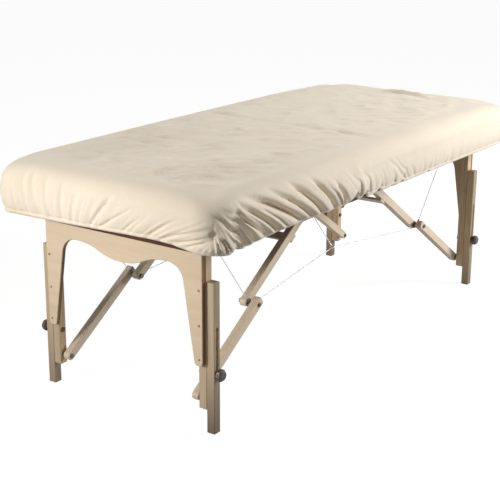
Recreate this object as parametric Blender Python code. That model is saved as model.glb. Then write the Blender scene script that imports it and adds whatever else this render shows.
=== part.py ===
"""Portable folding massage table on telescoping wooden legs, wearing a fitted cotton sheet.

Metres, +Z up. The origin is on the floor under the middle of the table, X runs along the table and Y across it.
The near half lies at -X and the far half at +X. A distance u is measured from the middle towards either end.
"""
import math

import bmesh
import bpy
from mathutils import Matrix, Vector

# Fits
GAP = 0.0003
PIN_CLEARANCE = 0.0003
ROUND_SIDES = 12
ROUND_ANGLE = 40
SOFT_ANGLE = 60

# Table top
TABLE_LENGTH = 1.760
TABLE_WIDTH = 0.762
FRAME_UNDERSIDE = 0.540
RAIL_HEIGHT = 0.067
RAIL_THICKNESS = 0.022
DECK_THICKNESS = 0.004
FOAM_THICKNESS = 0.068
FOAM_EDGE_RADIUS = 0.034
VINYL_THICKNESS = 0.0012
CORNER_RADIUS = 0.045
CORNER_STEPS = 8
SEAM_GAP = 0.001
SEAM_CORNER_RADIUS = 0.002
SEAM_CORNER_STEPS = 2
SEAM_EDGE_SHARE = 0.25
WOOD_CHAMFER = 0.0015

# Fitted sheet
SHEET_THICKNESS = 0.0016
SHEET_SIDE_EASE = 0.016
SHEET_END_EASE = 0.012
SHEET_CORNER_RADIUS = 0.060
SHEET_HEM_HEIGHT = 0.011
SHEET_SHOULDER = 0.045
SHEET_COLUMNS = 93
SHEET_BULGE = 0.004
SHEET_HEM_TUCK = 0.003
SHEET_GATHER = 0.004

# Legs
PANEL_INSET = 0.080
PANEL_THICKNESS = 0.014
PANEL_HALF_WIDTH = 0.2805
PANEL_BOTTOM = 0.194
PANEL_BELLY_Z = 0.434
PANEL_ARCH_Z = 0.4675
PANEL_ARCH_Y = 0.162
PANEL_SHOULDER_Y = 0.2165
PANEL_SHOULDER_Z = 0.425
PANEL_LEG_Y = 0.2515
PANEL_TOE_RADIUS = 0.010
PANEL_TOE_STEPS = 4
PANEL_CURVE_STEPS = 8
LEG_DEPTH = 0.026
POST_WIDTH = 0.026
POST_BOTTOM = 0.066
BEAM_THICKNESS = 0.019
FOOT_SPREAD = 0.617
EXTENSION_WIDTH = 0.026
EXTENSION_TOP = 0.430
SETTING_PITCH = 0.0254
SETTING_STEPS = 5
SETTING_RECESS_RADIUS = 0.0062
SETTING_RECESS_DEPTH = 0.002
KNOB_HEIGHT = 0.172
KNOB_RADIUS = 0.0172
KNOB_LENGTH = 0.021
KNOB_LOBES = 6
KNOB_SIDES = 24
KNOB_LOBE_SHARE = 0.09
KNOB_BOLT_RADIUS = 0.004
KNOB_NUT_RADIUS = 0.0068
KNOB_NUT_LENGTH = 0.004

# Knee braces
STRUT_DEPTH = 0.027
STRUT_WIDTH = 0.022
STRUT_GAP = 0.0160
KNUCKLE_REACH = 0.020
KNUCKLE_CORNER = 0.006
STRUT_END_STEPS = 8
SPACER_LENGTH = 0.0062
SPACER_RADIUS = 0.010
PIVOT_RADIUS = 0.004
PIVOT_RECESS = 0.001
LOWER_PIVOT_HEIGHT = 0.094
LOWER_PIVOT_INSET = 0.0093
UPPER_PIVOT_U = 0.062
UPPER_PIVOT_DROP = 0.037
BRACKET_THICKNESS = 0.002
BRACKET_LENGTH = 0.044
BRACKET_TAIL = 0.012
RIVET_HEAD_RADIUS = 0.0075
RIVET_HEAD_LENGTH = 0.003
CROSSBAR_REACH = 0.260
CROSSBAR_WIDTH = 0.028
CROSSBAR_THICKNESS = 0.009
CABLE_DISC_RADIUS = 0.0125
CABLE_DISC_THICKNESS = 0.002
SPOOL_RADIUS = 0.0060
KNUCKLE_NUT_RADIUS = 0.0070
KNUCKLE_NUT_LENGTH = 0.0065

# Hinges
HINGE_AXIS_DROP = 0.004
HINGE_BARREL_RADIUS = 0.0038
HINGE_PIN_RADIUS = 0.0018
HINGE_LEAF_THICKNESS = 0.0015
HINGE_NOTCH = 0.0050
LEG_HINGE_LEAF = 0.026
LEG_HINGE_BEAM_LEAF = 0.016
LEG_HINGE_INSET = 0.002
LEG_HINGE_KNUCKLES = 9
CENTRE_HINGE_WIDTH = 0.660
CENTRE_HINGE_LEAF = 0.020
CENTRE_HINGE_KNUCKLES = 11

# Cables
CABLE_RADIUS = 0.0012
CABLE_SIDES = 8
CABLE_TIE_Y = 0.185
CABLE_TIE_Z = 0.312
FERRULE_RADIUS = 0.0040
FERRULE_LENGTH = 0.010
ANCHOR_RADIUS = 0.005
ANCHOR_LENGTH = 0.010
ANCHOR_RISE = 0.010
HOOK_SIZE = 0.016
HOOK_THICKNESS = 0.006
HOOK_Y = 0.014
HOOK_RISE = 0.009

# Places that follow from the sizes above
HALF_LENGTH = TABLE_LENGTH / 2
HALF_WIDTH = TABLE_WIDTH / 2
VINYL_SEAM = SEAM_GAP / 2
SKIN = VINYL_THICKNESS + GAP
FRAME_SEAM = VINYL_SEAM + SKIN
FRAME_END = HALF_LENGTH - SKIN
FRAME_SIDE = HALF_WIDTH - SKIN
RAIL_INNER = FRAME_SIDE - RAIL_THICKNESS
CROSS_REACH = RAIL_INNER - GAP
RAIL_TOP = FRAME_UNDERSIDE + RAIL_HEIGHT
DECK_BOTTOM = RAIL_TOP + GAP
DECK_TOP = DECK_BOTTOM + DECK_THICKNESS
FOAM_BOTTOM = DECK_TOP + GAP
FOAM_TOP = FOAM_BOTTOM + FOAM_THICKNESS
VINYL_TOP = FOAM_TOP + GAP + VINYL_THICKNESS
SHEET_TOP = VINYL_TOP + GAP + SHEET_THICKNESS
SHEET_HEM = FRAME_UNDERSIDE + SHEET_HEM_HEIGHT
HOOK_Z = FRAME_UNDERSIDE + HOOK_RISE

PANEL_OUTER = HALF_LENGTH - PANEL_INSET
PANEL_INNER = PANEL_OUTER - PANEL_THICKNESS
LEG_OUTER = PANEL_INNER - GAP
LEG_INNER = LEG_OUTER - LEG_DEPTH
LEG_MIDDLE = (LEG_OUTER + LEG_INNER) / 2
BEAM_BOTTOM = RAIL_TOP - BEAM_THICKNESS
POST_TOP = BEAM_BOTTOM - GAP
EXTENSION_OUTER = FOOT_SPREAD / 2
EXTENSION_INNER = EXTENSION_OUTER - EXTENSION_WIDTH
POST_OUTER = EXTENSION_INNER - GAP
POST_INNER = POST_OUTER - POST_WIDTH
LEG_HINGE_U = LEG_INNER - GAP - HINGE_AXIS_DROP
LEG_HINGE_Z = BEAM_BOTTOM
CENTRE_HINGE_Z = FRAME_UNDERSIDE - GAP - HINGE_AXIS_DROP

LOWER_OUTER = POST_INNER - SPACER_LENGTH
LOWER_INNER = LOWER_OUTER - STRUT_WIDTH
UPPER_OUTER = LOWER_INNER - STRUT_GAP
UPPER_INNER = UPPER_OUTER - STRUT_WIDTH
LOWER_PIVOT = Vector((LEG_INNER + LOWER_PIVOT_INSET, LOWER_PIVOT_HEIGHT))
UPPER_PIVOT = Vector((UPPER_PIVOT_U, RAIL_TOP - UPPER_PIVOT_DROP))
DISC_INNER = UPPER_OUTER + GAP
DISC_OUTER = DISC_INNER + CABLE_DISC_THICKNESS
SPOOL_OUTER = LOWER_INNER - GAP
CABLE_Y = (DISC_OUTER + SPOOL_OUTER) / 2

ENDS = (("near", -1), ("far", 1))
SIDES = (("left", 1), ("right", -1))


# Brace linkage
def brace_linkage():
    """Knuckle place and strut lengths that are straight when open and lie along the leg when it is folded."""
    hinge = Vector((LEG_HINGE_U, LEG_HINGE_Z))
    reach = LOWER_PIVOT - hinge
    folded_pivot = hinge + Vector((reach.y, -reach.x))
    open_span = UPPER_PIVOT - LOWER_PIVOT
    folded_span = (UPPER_PIVOT - folded_pivot).length
    lower_length = (open_span.length - folded_span) / 2
    upper_length = (open_span.length + folded_span) / 2
    knuckle = LOWER_PIVOT + open_span.normalized() * lower_length
    return knuckle, lower_length, upper_length


KNUCKLE, LOWER_LENGTH, UPPER_LENGTH = brace_linkage()


# Scene and materials
def clear_scene():
    for item in list(bpy.data.objects):
        bpy.data.objects.remove(item)


def make_material(name, colour, roughness, metallic=0.0):
    material = bpy.data.materials.new(name)
    material.use_nodes = True
    shader = material.node_tree.nodes["Principled BSDF"]
    shader.inputs["Base Color"].default_value = (*colour, 1.0)
    shader.inputs["Roughness"].default_value = roughness
    shader.inputs["Metallic"].default_value = metallic
    return material


def make_materials():
    return {
        "cotton": make_material("cotton", (0.84, 0.76, 0.61), 0.9),
        "vinyl": make_material("vinyl", (0.16, 0.045, 0.035), 0.45),
        "foam": make_material("foam", (0.80, 0.73, 0.50), 0.95),
        "plywood": make_material("plywood", (0.62, 0.46, 0.29), 0.6),
        "beech": make_material("beech", (0.66, 0.50, 0.33), 0.5),
        "steel": make_material("steel", (0.46, 0.45, 0.43), 0.35, 1.0),
        "knob_plastic": make_material("knob_plastic", (0.03, 0.03, 0.025), 0.5),
    }


def make_empty(name, location, parent=None):
    empty = bpy.data.objects.new(name, None)
    bpy.context.collection.objects.link(empty)
    if parent:
        empty.parent = parent
    empty.location = Vector(location) - (Vector(parent["place"]) if parent else Vector())
    empty["place"] = tuple(location)
    return empty


# Mesh helpers: every shape is drawn in place and moved to its object's origin at the end
def prism(outline, axis, low, high, chamfer=0.0):
    """Solid with the given outline, drawn in the plane across axis, from low to high along that axis."""
    solid = bmesh.new()
    corners = []
    for a, b in outline:
        point = [a, b]
        point.insert(axis, low)
        corners.append(solid.verts.new(point))
    base = solid.faces.new(corners)
    extruded = bmesh.ops.extrude_face_region(solid, geom=[base])
    moved = [item for item in extruded["geom"] if isinstance(item, bmesh.types.BMVert)]
    shift = [0.0, 0.0, 0.0]
    shift[axis] = high - low
    bmesh.ops.translate(solid, verts=moved, vec=shift)
    bmesh.ops.recalc_face_normals(solid, faces=solid.faces)
    if chamfer:
        sharp = [edge for edge in solid.edges if edge.calc_face_angle() > math.radians(50)]
        bmesh.ops.bevel(solid, geom=sharp, offset=chamfer, segments=1, affect="EDGES", clamp_overlap=True)
    return solid


def box(x_range, y_range, z_range, chamfer=0.0):
    x0, x1 = sorted(x_range)
    y0, y1 = sorted(y_range)
    outline = ((x0, y0), (x1, y0), (x1, y1), (x0, y1))
    return prism(outline, 2, z_range[0], z_range[1], chamfer)


def turned(axis, centre, profile, sides=ROUND_SIDES, lobes=0):
    """Solid of revolution along axis, from rings of (distance along the axis, radius, share taken by lobes)."""
    solid = bmesh.new()
    rings = []
    for along, radius, *lobe_share in profile:
        depth = lobe_share[0] / 2 if lobe_share else 0.0
        ring = []
        for step in range(sides):
            angle = 2 * math.pi * step / sides
            reach = radius * (1 - depth * (1 - math.cos(lobes * angle)))
            point = [centre[0] + reach * math.cos(angle), centre[1] + reach * math.sin(angle)]
            point.insert(axis, along)
            ring.append(solid.verts.new(point))
        rings.append(ring)
    solid.faces.new(rings[0])
    solid.faces.new(rings[-1])
    for first, second in zip(rings, rings[1:]):
        for step in range(sides):
            after = (step + 1) % sides
            solid.faces.new((first[step], first[after], second[after], second[step]))
    bmesh.ops.recalc_face_normals(solid, faces=solid.faces)
    return solid


def joined(solids):
    """One mesh that holds several separate solids."""
    whole = bmesh.new()
    for solid in solids:
        mesh = bpy.data.meshes.new("piece")
        solid.to_mesh(mesh)
        solid.free()
        whole.from_mesh(mesh)
        bpy.data.meshes.remove(mesh)
    return whole


def combined(base, tool, operation):
    """Boolean of two solids, used up in the making."""
    pieces = []
    for label, solid in (("base", base), ("tool", tool)):
        mesh = bpy.data.meshes.new(label)
        solid.to_mesh(mesh)
        solid.free()
        piece = bpy.data.objects.new(label, mesh)
        bpy.context.collection.objects.link(piece)
        pieces.append(piece)
    modifier = pieces[0].modifiers.new("boolean", "BOOLEAN")
    modifier.operation = operation
    modifier.object = pieces[1]
    bpy.context.view_layer.update()
    depsgraph = bpy.context.evaluated_depsgraph_get()
    result = bmesh.new()
    result.from_object(pieces[0], depsgraph)
    for piece in pieces:
        mesh = piece.data
        bpy.data.objects.remove(piece)
        bpy.data.meshes.remove(mesh)
    return result


def finish(name, solid, material, parent, origin, smooth_angle=None):
    """Object with its origin on its joint's axis, or at its parent's place."""
    place = Vector(origin)
    bmesh.ops.translate(solid, verts=solid.verts, vec=-place)
    mesh = bpy.data.meshes.new(name)
    solid.to_mesh(mesh)
    solid.free()
    if smooth_angle:
        mesh.shade_smooth()
        mesh.set_sharp_from_angle(angle=math.radians(smooth_angle))
    mesh.materials.append(material)
    item = bpy.data.objects.new(name, mesh)
    bpy.context.collection.objects.link(item)
    item.parent = parent
    item.location = place - Vector(parent["place"])
    return item


# Frame of each half
def arc(centre, radius, start_deg, end_deg, steps):
    points = []
    for step in range(steps + 1):
        angle = math.radians(start_deg + (end_deg - start_deg) * step / steps)
        points.append((centre[0] + radius * math.cos(angle), centre[1] + radius * math.sin(angle)))
    return points


def frame_corner(from_y, to_y):
    """Stretch of the frame's round corner between two distances from the table's middle line."""
    radius = CORNER_RADIUS - SKIN
    centre = (FRAME_END - radius, FRAME_SIDE - radius)
    start, stop = (math.degrees(math.asin(max(y - centre[1], 0.0) / radius)) for y in (from_y, to_y))
    return arc(centre, radius, start, stop, CORNER_STEPS)


def side_rail(end, side):
    """Long rail, rounded off at the table's corner."""
    outline = [(FRAME_SEAM, RAIL_INNER), *frame_corner(RAIL_INNER, FRAME_SIDE), (FRAME_SEAM, FRAME_SIDE)]
    placed = [(end * u, side * y) for u, y in outline]
    return prism(placed, 2, FRAME_UNDERSIDE, RAIL_TOP)


def end_rail(end):
    """Rail between the side rails at the table's end, rounded off with them at both corners."""
    half = [(FRAME_END - RAIL_THICKNESS, CROSS_REACH), *reversed(frame_corner(0.0, CROSS_REACH))]
    outline = half + [(u, -y) for u, y in reversed(half)]
    return prism([(end * u, y) for u, y in outline], 2, FRAME_UNDERSIDE, RAIL_TOP)


def cross_rail(end, inner, outer, bottom):
    return box((end * inner, end * outer), (-CROSS_REACH, CROSS_REACH), (bottom, RAIL_TOP))


def half_outline(inset, seam_inset):
    """Rounded outline (u, y) of one half of the top, drawn in from the upholstery's outer face by inset."""
    seam = VINYL_SEAM + seam_inset
    outer = HALF_LENGTH - inset
    side = HALF_WIDTH - inset
    least = SEAM_CORNER_RADIUS / 4
    end_radius = max(CORNER_RADIUS - inset, least)
    seam_radius = max(SEAM_CORNER_RADIUS - seam_inset, least)
    points = []
    for u, y, radius, start, steps in (
        (outer - end_radius, side - end_radius, end_radius, 0, CORNER_STEPS),
        (seam + seam_radius, side - seam_radius, seam_radius, 90, SEAM_CORNER_STEPS),
        (seam + seam_radius, -side + seam_radius, seam_radius, 180, SEAM_CORNER_STEPS),
        (outer - end_radius, -side + end_radius, end_radius, 270, CORNER_STEPS),
    ):
        points += arc((u, y), radius, start, start + 90, steps)
    return points


def ring_faces(solid, first, second):
    count = len(first)
    for step in range(count):
        after = (step + 1) % count
        solid.faces.new((first[step], first[after], second[after], second[step]))


def half_ring(solid, end, inset, height):
    """Ring of vertices round one half. The seam side is less rounded than the outer sides."""
    excess = max(inset - SKIN, 0.0)
    seam_inset = min(inset, SKIN) + SEAM_EDGE_SHARE * excess
    return [solid.verts.new((end * u, y, height)) for u, y in half_outline(inset, seam_inset)]


def edge_rows(base_inset, top, radius):
    """Quarter-round upper edge as (inset, height) pairs from the side to the flat top."""
    rows = []
    for degrees in (0, 45, 90):
        angle = math.radians(degrees)
        rows.append((base_inset + radius * (1 - math.cos(angle)), top - radius * (1 - math.sin(angle))))
    return rows


def deck(end):
    outline = [(end * u, y) for u, y in half_outline(SKIN, SKIN)]
    return prism(outline, 2, DECK_BOTTOM, DECK_TOP)


def foam_pad(end):
    solid = bmesh.new()
    rows = [(SKIN, FOAM_BOTTOM), *edge_rows(SKIN, FOAM_TOP, FOAM_EDGE_RADIUS)]
    rings = [half_ring(solid, end, inset, height) for inset, height in rows]
    for first, second in zip(rings, rings[1:]):
        ring_faces(solid, first, second)
    solid.faces.new(rings[0])
    solid.faces.new(rings[-1])
    bmesh.ops.recalc_face_normals(solid, faces=solid.faces)
    return solid


def upholstery(end):
    """Vinyl shell over the pad, the deck and the outside of the rails, open underneath."""
    solid = bmesh.new()
    outer_rows = [(0.0, FRAME_UNDERSIDE), *edge_rows(0.0, VINYL_TOP, FOAM_EDGE_RADIUS + SKIN)]
    inner_top = VINYL_TOP - VINYL_THICKNESS
    inner_rows = [(VINYL_THICKNESS, FRAME_UNDERSIDE)]
    inner_rows += edge_rows(VINYL_THICKNESS, inner_top, FOAM_EDGE_RADIUS + GAP)
    shells = []
    for rows in (outer_rows, inner_rows):
        rings = [half_ring(solid, end, inset, height) for inset, height in rows]
        for first, second in zip(rings, rings[1:]):
            ring_faces(solid, first, second)
        solid.faces.new(rings[-1])
        shells.append(rings)
    ring_faces(solid, shells[0][0], shells[1][0])
    bmesh.ops.recalc_face_normals(solid, faces=solid.faces)
    return solid


# Fitted sheet
def sheet_path():
    """Half of the sheet's plan: points (u, y, outward u, outward y) from the seam round the end and back."""
    side = HALF_WIDTH + SHEET_SIDE_EASE
    outer = HALF_LENGTH + SHEET_END_EASE
    radius = SHEET_CORNER_RADIUS
    straight = outer - radius - VINYL_SEAM
    bend = math.pi * radius / 2
    across = 2 * (side - radius)
    total = 2 * straight + 2 * bend + across
    points = []
    for column in range(SHEET_COLUMNS):
        s = total * column / (SHEET_COLUMNS - 1)
        mirrored = s > total / 2
        s = min(s, total - s)
        if s <= straight:
            u, y, out_u, out_y = VINYL_SEAM + s, -side, 0.0, -1.0
        elif s <= straight + bend:
            angle = (s - straight) / radius
            out_u, out_y = math.sin(angle), -math.cos(angle)
            u, y = outer - radius + radius * out_u, -side + radius + radius * out_y
        else:
            u, y, out_u, out_y = outer, -side + radius + (s - straight - bend), 1.0, 0.0
        flip = -1 if mirrored else 1
        points.append((u, flip * y, out_u, flip * out_y))
    return points


def sheet_rows():
    """Sheet profile from the top to the hem: (offset, height, tilt of the face in degrees, gather)."""
    drop = SHEET_TOP - SHEET_HEM
    return (
        (-SHEET_SHOULDER, SHEET_TOP, 90, 0.0),
        (-0.40 * SHEET_SHOULDER, SHEET_TOP - 0.13 * SHEET_SHOULDER, 60, 0.0),
        (-0.07 * SHEET_SHOULDER, SHEET_TOP - 0.58 * SHEET_SHOULDER, 25, 0.2 * SHEET_GATHER),
        (SHEET_BULGE, SHEET_HEM + 0.45 * drop, 0, 0.45 * SHEET_GATHER),
        (SHEET_BULGE, SHEET_HEM + 0.18 * drop, 0, 0.9 * SHEET_GATHER),
        (-SHEET_HEM_TUCK, SHEET_HEM, 0, SHEET_GATHER),
    )


def gather_wave(column):
    """In-and-out of the gathered hem at one column, a little uneven along the edge."""
    return (-1) ** column * (0.7 + 0.3 * math.sin(0.9 * column))


def half_sheet(end):
    solid = bmesh.new()
    path = sheet_path()
    layers = []
    for depth in (0.0, SHEET_THICKNESS):
        rings = []
        for offset, height, tilt, gather in sheet_rows():
            lean = math.radians(tilt)
            ring = []
            for column, (u, y, out_u, out_y) in enumerate(path):
                reach = offset + gather * gather_wave(column) - depth * math.cos(lean)
                point = (end * (u + reach * out_u), y + reach * out_y, height - depth * math.sin(lean))
                ring.append(solid.verts.new(point))
            rings.append(ring)
        solid.faces.new(rings[0])
        for first, second in zip(rings, rings[1:]):
            for step in range(SHEET_COLUMNS - 1):
                solid.faces.new((first[step], first[step + 1], second[step + 1], second[step]))
        layers.append(rings)
    outer, inner = layers
    for step in range(SHEET_COLUMNS - 1):
        solid.faces.new((outer[-1][step], outer[-1][step + 1], inner[-1][step + 1], inner[-1][step]))
    for row in range(len(outer) - 1):
        for column in (0, -1):
            solid.faces.new((outer[row][column], outer[row + 1][column],
                             inner[row + 1][column], inner[row][column]))
    solid.faces.new((outer[0][0], outer[0][-1], inner[0][-1], inner[0][0]))
    bmesh.ops.recalc_face_normals(solid, faces=solid.faces)
    return solid


# Legs
def curve(start, start_pull, end_pull, end, steps):
    """Cubic curve from start to end, without its first point."""
    points = []
    for step in range(1, steps + 1):
        t = step / steps
        weights = ((1 - t) ** 3, 3 * t * (1 - t) ** 2, 3 * t * t * (1 - t), t ** 3)
        knots = (start, start_pull, end_pull, end)
        points.append(tuple(sum(w * k[i] for w, k in zip(weights, knots)) for i in range(2)))
    return points


def panel_half_outline():
    """Right-hand half (y, z) of the end panel, from the belly's middle to the top edge's middle."""
    belly = (0.0, PANEL_BELLY_Z)
    arch = (PANEL_ARCH_Y, PANEL_ARCH_Z)
    shoulder = (PANEL_SHOULDER_Y, PANEL_SHOULDER_Z)
    toe_z = PANEL_BOTTOM + PANEL_TOE_RADIUS
    toe_y = PANEL_LEG_Y
    lean = (shoulder[0] - toe_y) / (shoulder[1] - toe_z)
    rise = arch[1] - shoulder[1]
    pull = PANEL_ARCH_Y / 2
    points = [belly]
    points += curve(belly, (pull, belly[1]), (arch[0] - pull, arch[1]), arch, PANEL_CURVE_STEPS)
    brow = (arch[0] + 0.6 * (shoulder[0] - arch[0]), arch[1])
    cheek = (shoulder[0] + 0.5 * lean * rise, shoulder[1] + 0.5 * rise)
    points += curve(arch, brow, cheek, shoulder, PANEL_CURVE_STEPS)
    points.append((toe_y, toe_z))
    points += arc((toe_y + PANEL_TOE_RADIUS, toe_z), PANEL_TOE_RADIUS, 180, 270, PANEL_TOE_STEPS)[1:]
    outer = PANEL_HALF_WIDTH
    points += arc((outer - PANEL_TOE_RADIUS, toe_z), PANEL_TOE_RADIUS, 270, 360, PANEL_TOE_STEPS)
    points.append((outer, POST_TOP))
    return points


def end_panel(end):
    half = panel_half_outline()
    outline = half + [(-y, z) for y, z in reversed(half[1:])]
    return prism(outline, 0, *sorted((end * PANEL_INNER, end * PANEL_OUTER)), WOOD_CHAMFER)


def drilled(solid, axis, places, low, high, radius):
    cutter = joined([turned(axis, place, ((low, radius), (high, radius))) for place in places])
    return combined(solid, cutter, "DIFFERENCE")


def leg_post(end, side):
    solid = box((end * LEG_INNER, end * LEG_OUTER), (side * POST_INNER, side * POST_OUTER),
                (POST_BOTTOM, POST_TOP), WOOD_CHAMFER)
    low, high = sorted((side * (POST_INNER - WOOD_CHAMFER), side * (POST_OUTER + WOOD_CHAMFER)))
    bolt = ((end * LEG_MIDDLE, KNOB_HEIGHT),)
    solid = drilled(solid, 1, bolt, low, high, KNOB_BOLT_RADIUS + PIN_CLEARANCE)
    pivot = ((end * LOWER_PIVOT.x, LOWER_PIVOT.y),)
    return drilled(solid, 1, pivot, low, high, PIVOT_RADIUS + PIN_CLEARANCE)


def leg_extension(end, side):
    """Sliding lower leg: a clamp slot for the knob's bolt, with a round recess at each height setting."""
    solid = box((end * LEG_INNER, end * LEG_OUTER), (side * EXTENSION_INNER, side * EXTENSION_OUTER),
                (0.0, EXTENSION_TOP), WOOD_CHAMFER)
    places = [(end * LEG_MIDDLE, KNOB_HEIGHT + SETTING_PITCH * step) for step in range(SETTING_STEPS + 1)]
    outside = side * (EXTENSION_OUTER + WOOD_CHAMFER)
    low, high = sorted((side * (EXTENSION_OUTER - SETTING_RECESS_DEPTH), outside))
    solid = drilled(solid, 1, places, low, high, SETTING_RECESS_RADIUS)
    low, high = sorted((side * (EXTENSION_INNER - WOOD_CHAMFER), outside))
    radius = KNOB_BOLT_RADIUS + PIN_CLEARANCE
    slot = arc(places[-1], radius, 0, 180, STRUT_END_STEPS) + arc(places[0], radius, 180, 360, STRUT_END_STEPS)
    return combined(solid, prism(slot, 1, low, high), "DIFFERENCE")


def clamp_knob(end, side):
    """Lobed knob on the bolt that goes through the extension and the post to its nut."""
    face = EXTENSION_OUTER + GAP
    nut = POST_INNER - GAP
    stem = 0.18 * KNOB_LENGTH
    profile = (
        (nut - KNOB_NUT_LENGTH, KNOB_NUT_RADIUS),
        (nut, KNOB_NUT_RADIUS),
        (nut, KNOB_BOLT_RADIUS),
        (face, KNOB_BOLT_RADIUS),
        (face, 0.62 * KNOB_RADIUS),
        (face + stem, 0.66 * KNOB_RADIUS),
        (face + 1.6 * stem, KNOB_RADIUS, KNOB_LOBE_SHARE),
        (face + 0.78 * KNOB_LENGTH, KNOB_RADIUS, KNOB_LOBE_SHARE),
        (face + KNOB_LENGTH, 0.74 * KNOB_RADIUS, KNOB_LOBE_SHARE),
    )
    placed = [(side * y, *ring) for y, *ring in profile]
    return turned(1, (end * LEG_MIDDLE, KNOB_HEIGHT), placed, KNOB_SIDES, KNOB_LOBES)


# Knee braces
def strut(end, side, start, length, angle, inner, outer, reach=STRUT_DEPTH / 2, corner=STRUT_DEPTH / 2):
    """Flat strut from start at an angle, drilled at its two pivots, that ends reach past the second one."""
    radius = STRUT_DEPTH / 2
    flat = radius - corner
    edge = length + reach - corner
    outline = arc((0.0, 0.0), radius, 90, 270, STRUT_END_STEPS)
    outline += arc((edge, -flat), corner, -90, 0, STRUT_END_STEPS // 2)
    if flat == 0.0:
        outline.pop()
    outline += arc((edge, flat), corner, 0, 90, STRUT_END_STEPS // 2)
    turn = Matrix.Rotation(angle, 2)
    placed = [turn @ Vector(point) + start for point in outline]
    low, high = sorted((side * inner, side * outer))
    solid = prism([(end * u, z) for u, z in placed], 1, low, high, WOOD_CHAMFER)
    tip = turn @ Vector((length, 0.0)) + start
    holes = [(end * place.x, place.y) for place in (start, tip)]
    return drilled(solid, 1, holes, low - WOOD_CHAMFER, high + WOOD_CHAMFER, PIVOT_RADIUS + PIN_CLEARANCE)


def lower_strut(end, side):
    run = KNUCKLE - LOWER_PIVOT
    angle = math.atan2(run.y, run.x)
    span = (LOWER_INNER, LOWER_OUTER)
    return strut(end, side, LOWER_PIVOT, LOWER_LENGTH, angle, *span, KNUCKLE_REACH, KNUCKLE_CORNER)


def upper_strut(end, side):
    run = KNUCKLE - UPPER_PIVOT
    return strut(end, side, UPPER_PIVOT, UPPER_LENGTH, math.atan2(run.y, run.x), UPPER_INNER, UPPER_OUTER)


def crossbar(end):
    """Slat across both upper struts, under their lower edges."""
    along = (KNUCKLE - UPPER_PIVOT).normalized()
    across = Vector((along.y, -along.x))
    if across.y > 0:
        across = -across
    middle = UPPER_PIVOT + along * CROSSBAR_REACH
    foot = STRUT_DEPTH / 2 + GAP
    corners = []
    for run, rise in ((-1, 0), (1, 0), (1, 1), (-1, 1)):
        lift = foot + rise * CROSSBAR_THICKNESS
        corners.append(middle + along * (run * CROSSBAR_WIDTH / 2) + across * lift)
    outline = [(end * point.x, point.y) for point in corners]
    return prism(outline, 1, -UPPER_OUTER, UPPER_OUTER, WOOD_CHAMFER)


def lower_pivot_bolt(end, side):
    """Bolt that carries the lower strut on the post, with its spacer between the two."""
    profile = (
        (LOWER_INNER + PIVOT_RECESS, PIVOT_RADIUS),
        (LOWER_OUTER + GAP, PIVOT_RADIUS),
        (LOWER_OUTER + GAP, SPACER_RADIUS),
        (POST_INNER - GAP, SPACER_RADIUS),
        (POST_INNER - GAP, PIVOT_RADIUS),
        (POST_OUTER - PIVOT_RECESS, PIVOT_RADIUS),
    )
    return turned(1, (end * LOWER_PIVOT.x, LOWER_PIVOT.y), [(side * y, radius) for y, radius in profile])


def knuckle_bolt(end, side):
    """Knuckle bolt in the upper strut, with its nut, and the washer and spool that the cable bends round."""
    nut_face = UPPER_INNER - GAP
    profile = (
        (nut_face - KNUCKLE_NUT_LENGTH, KNUCKLE_NUT_RADIUS),
        (nut_face, KNUCKLE_NUT_RADIUS),
        (nut_face, PIVOT_RADIUS),
        (DISC_INNER, PIVOT_RADIUS),
        (DISC_INNER, CABLE_DISC_RADIUS),
        (DISC_OUTER, CABLE_DISC_RADIUS),
        (DISC_OUTER, SPOOL_RADIUS),
        (SPOOL_OUTER, SPOOL_RADIUS),
    )
    return turned(1, (end * KNUCKLE.x, KNUCKLE.y), [(side * y, radius) for y, radius in profile])


def brace_bracket(end):
    """Steel strap under the deck, turned down at both ends, with the rivets that the upper struts turn on."""
    outer = UPPER_INNER - GAP
    inner = outer - BRACKET_THICKNESS
    top = DECK_BOTTOM - GAP
    under = top - BRACKET_THICKNESS
    bottom = UPPER_PIVOT.y - BRACKET_TAIL
    outline = ((-outer, bottom), (-outer, top), (outer, top), (outer, bottom),
               (inner, bottom), (inner, under), (-inner, under), (-inner, bottom))
    span = sorted(end * (UPPER_PIVOT.x + reach) for reach in (-BRACKET_LENGTH / 2, BRACKET_LENGTH / 2))
    strap = prism(outline, 0, *span)
    rivet_face = UPPER_OUTER + GAP
    profile = (
        (inner + BRACKET_THICKNESS / 2, PIVOT_RADIUS),
        (rivet_face, PIVOT_RADIUS),
        (rivet_face, RIVET_HEAD_RADIUS),
        (rivet_face + RIVET_HEAD_LENGTH, RIVET_HEAD_RADIUS * 0.7),
    )
    centre = (end * UPPER_PIVOT.x, UPPER_PIVOT.y)
    rivets = [turned(1, centre, [(side * y, radius) for y, radius in profile]) for _, side in SIDES]
    return combined(strap, joined(rivets), "UNION")


# Hinges: the fixed leaf carries the pin, the swinging leaf turns on it
def hinge_knuckles(width, count):
    """Ends (low, high) of the knuckles along the barrel. They belong to the two leaves in turn."""
    pitch = width / count
    return [(-width / 2 + pitch * k + GAP, -width / 2 + pitch * (k + 1) - GAP) for k in range(count)]


def fixed_barrel(axis_point, knuckles):
    """The fixed leaf's knuckles, joined by the pin."""
    profile = []
    for low, high in knuckles[::2]:
        profile += [(low, HINGE_PIN_RADIUS), (low, HINGE_BARREL_RADIUS)]
        profile += [(high, HINGE_BARREL_RADIUS), (high, HINGE_PIN_RADIUS)]
    return turned(1, axis_point, profile[1:-1])


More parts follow.
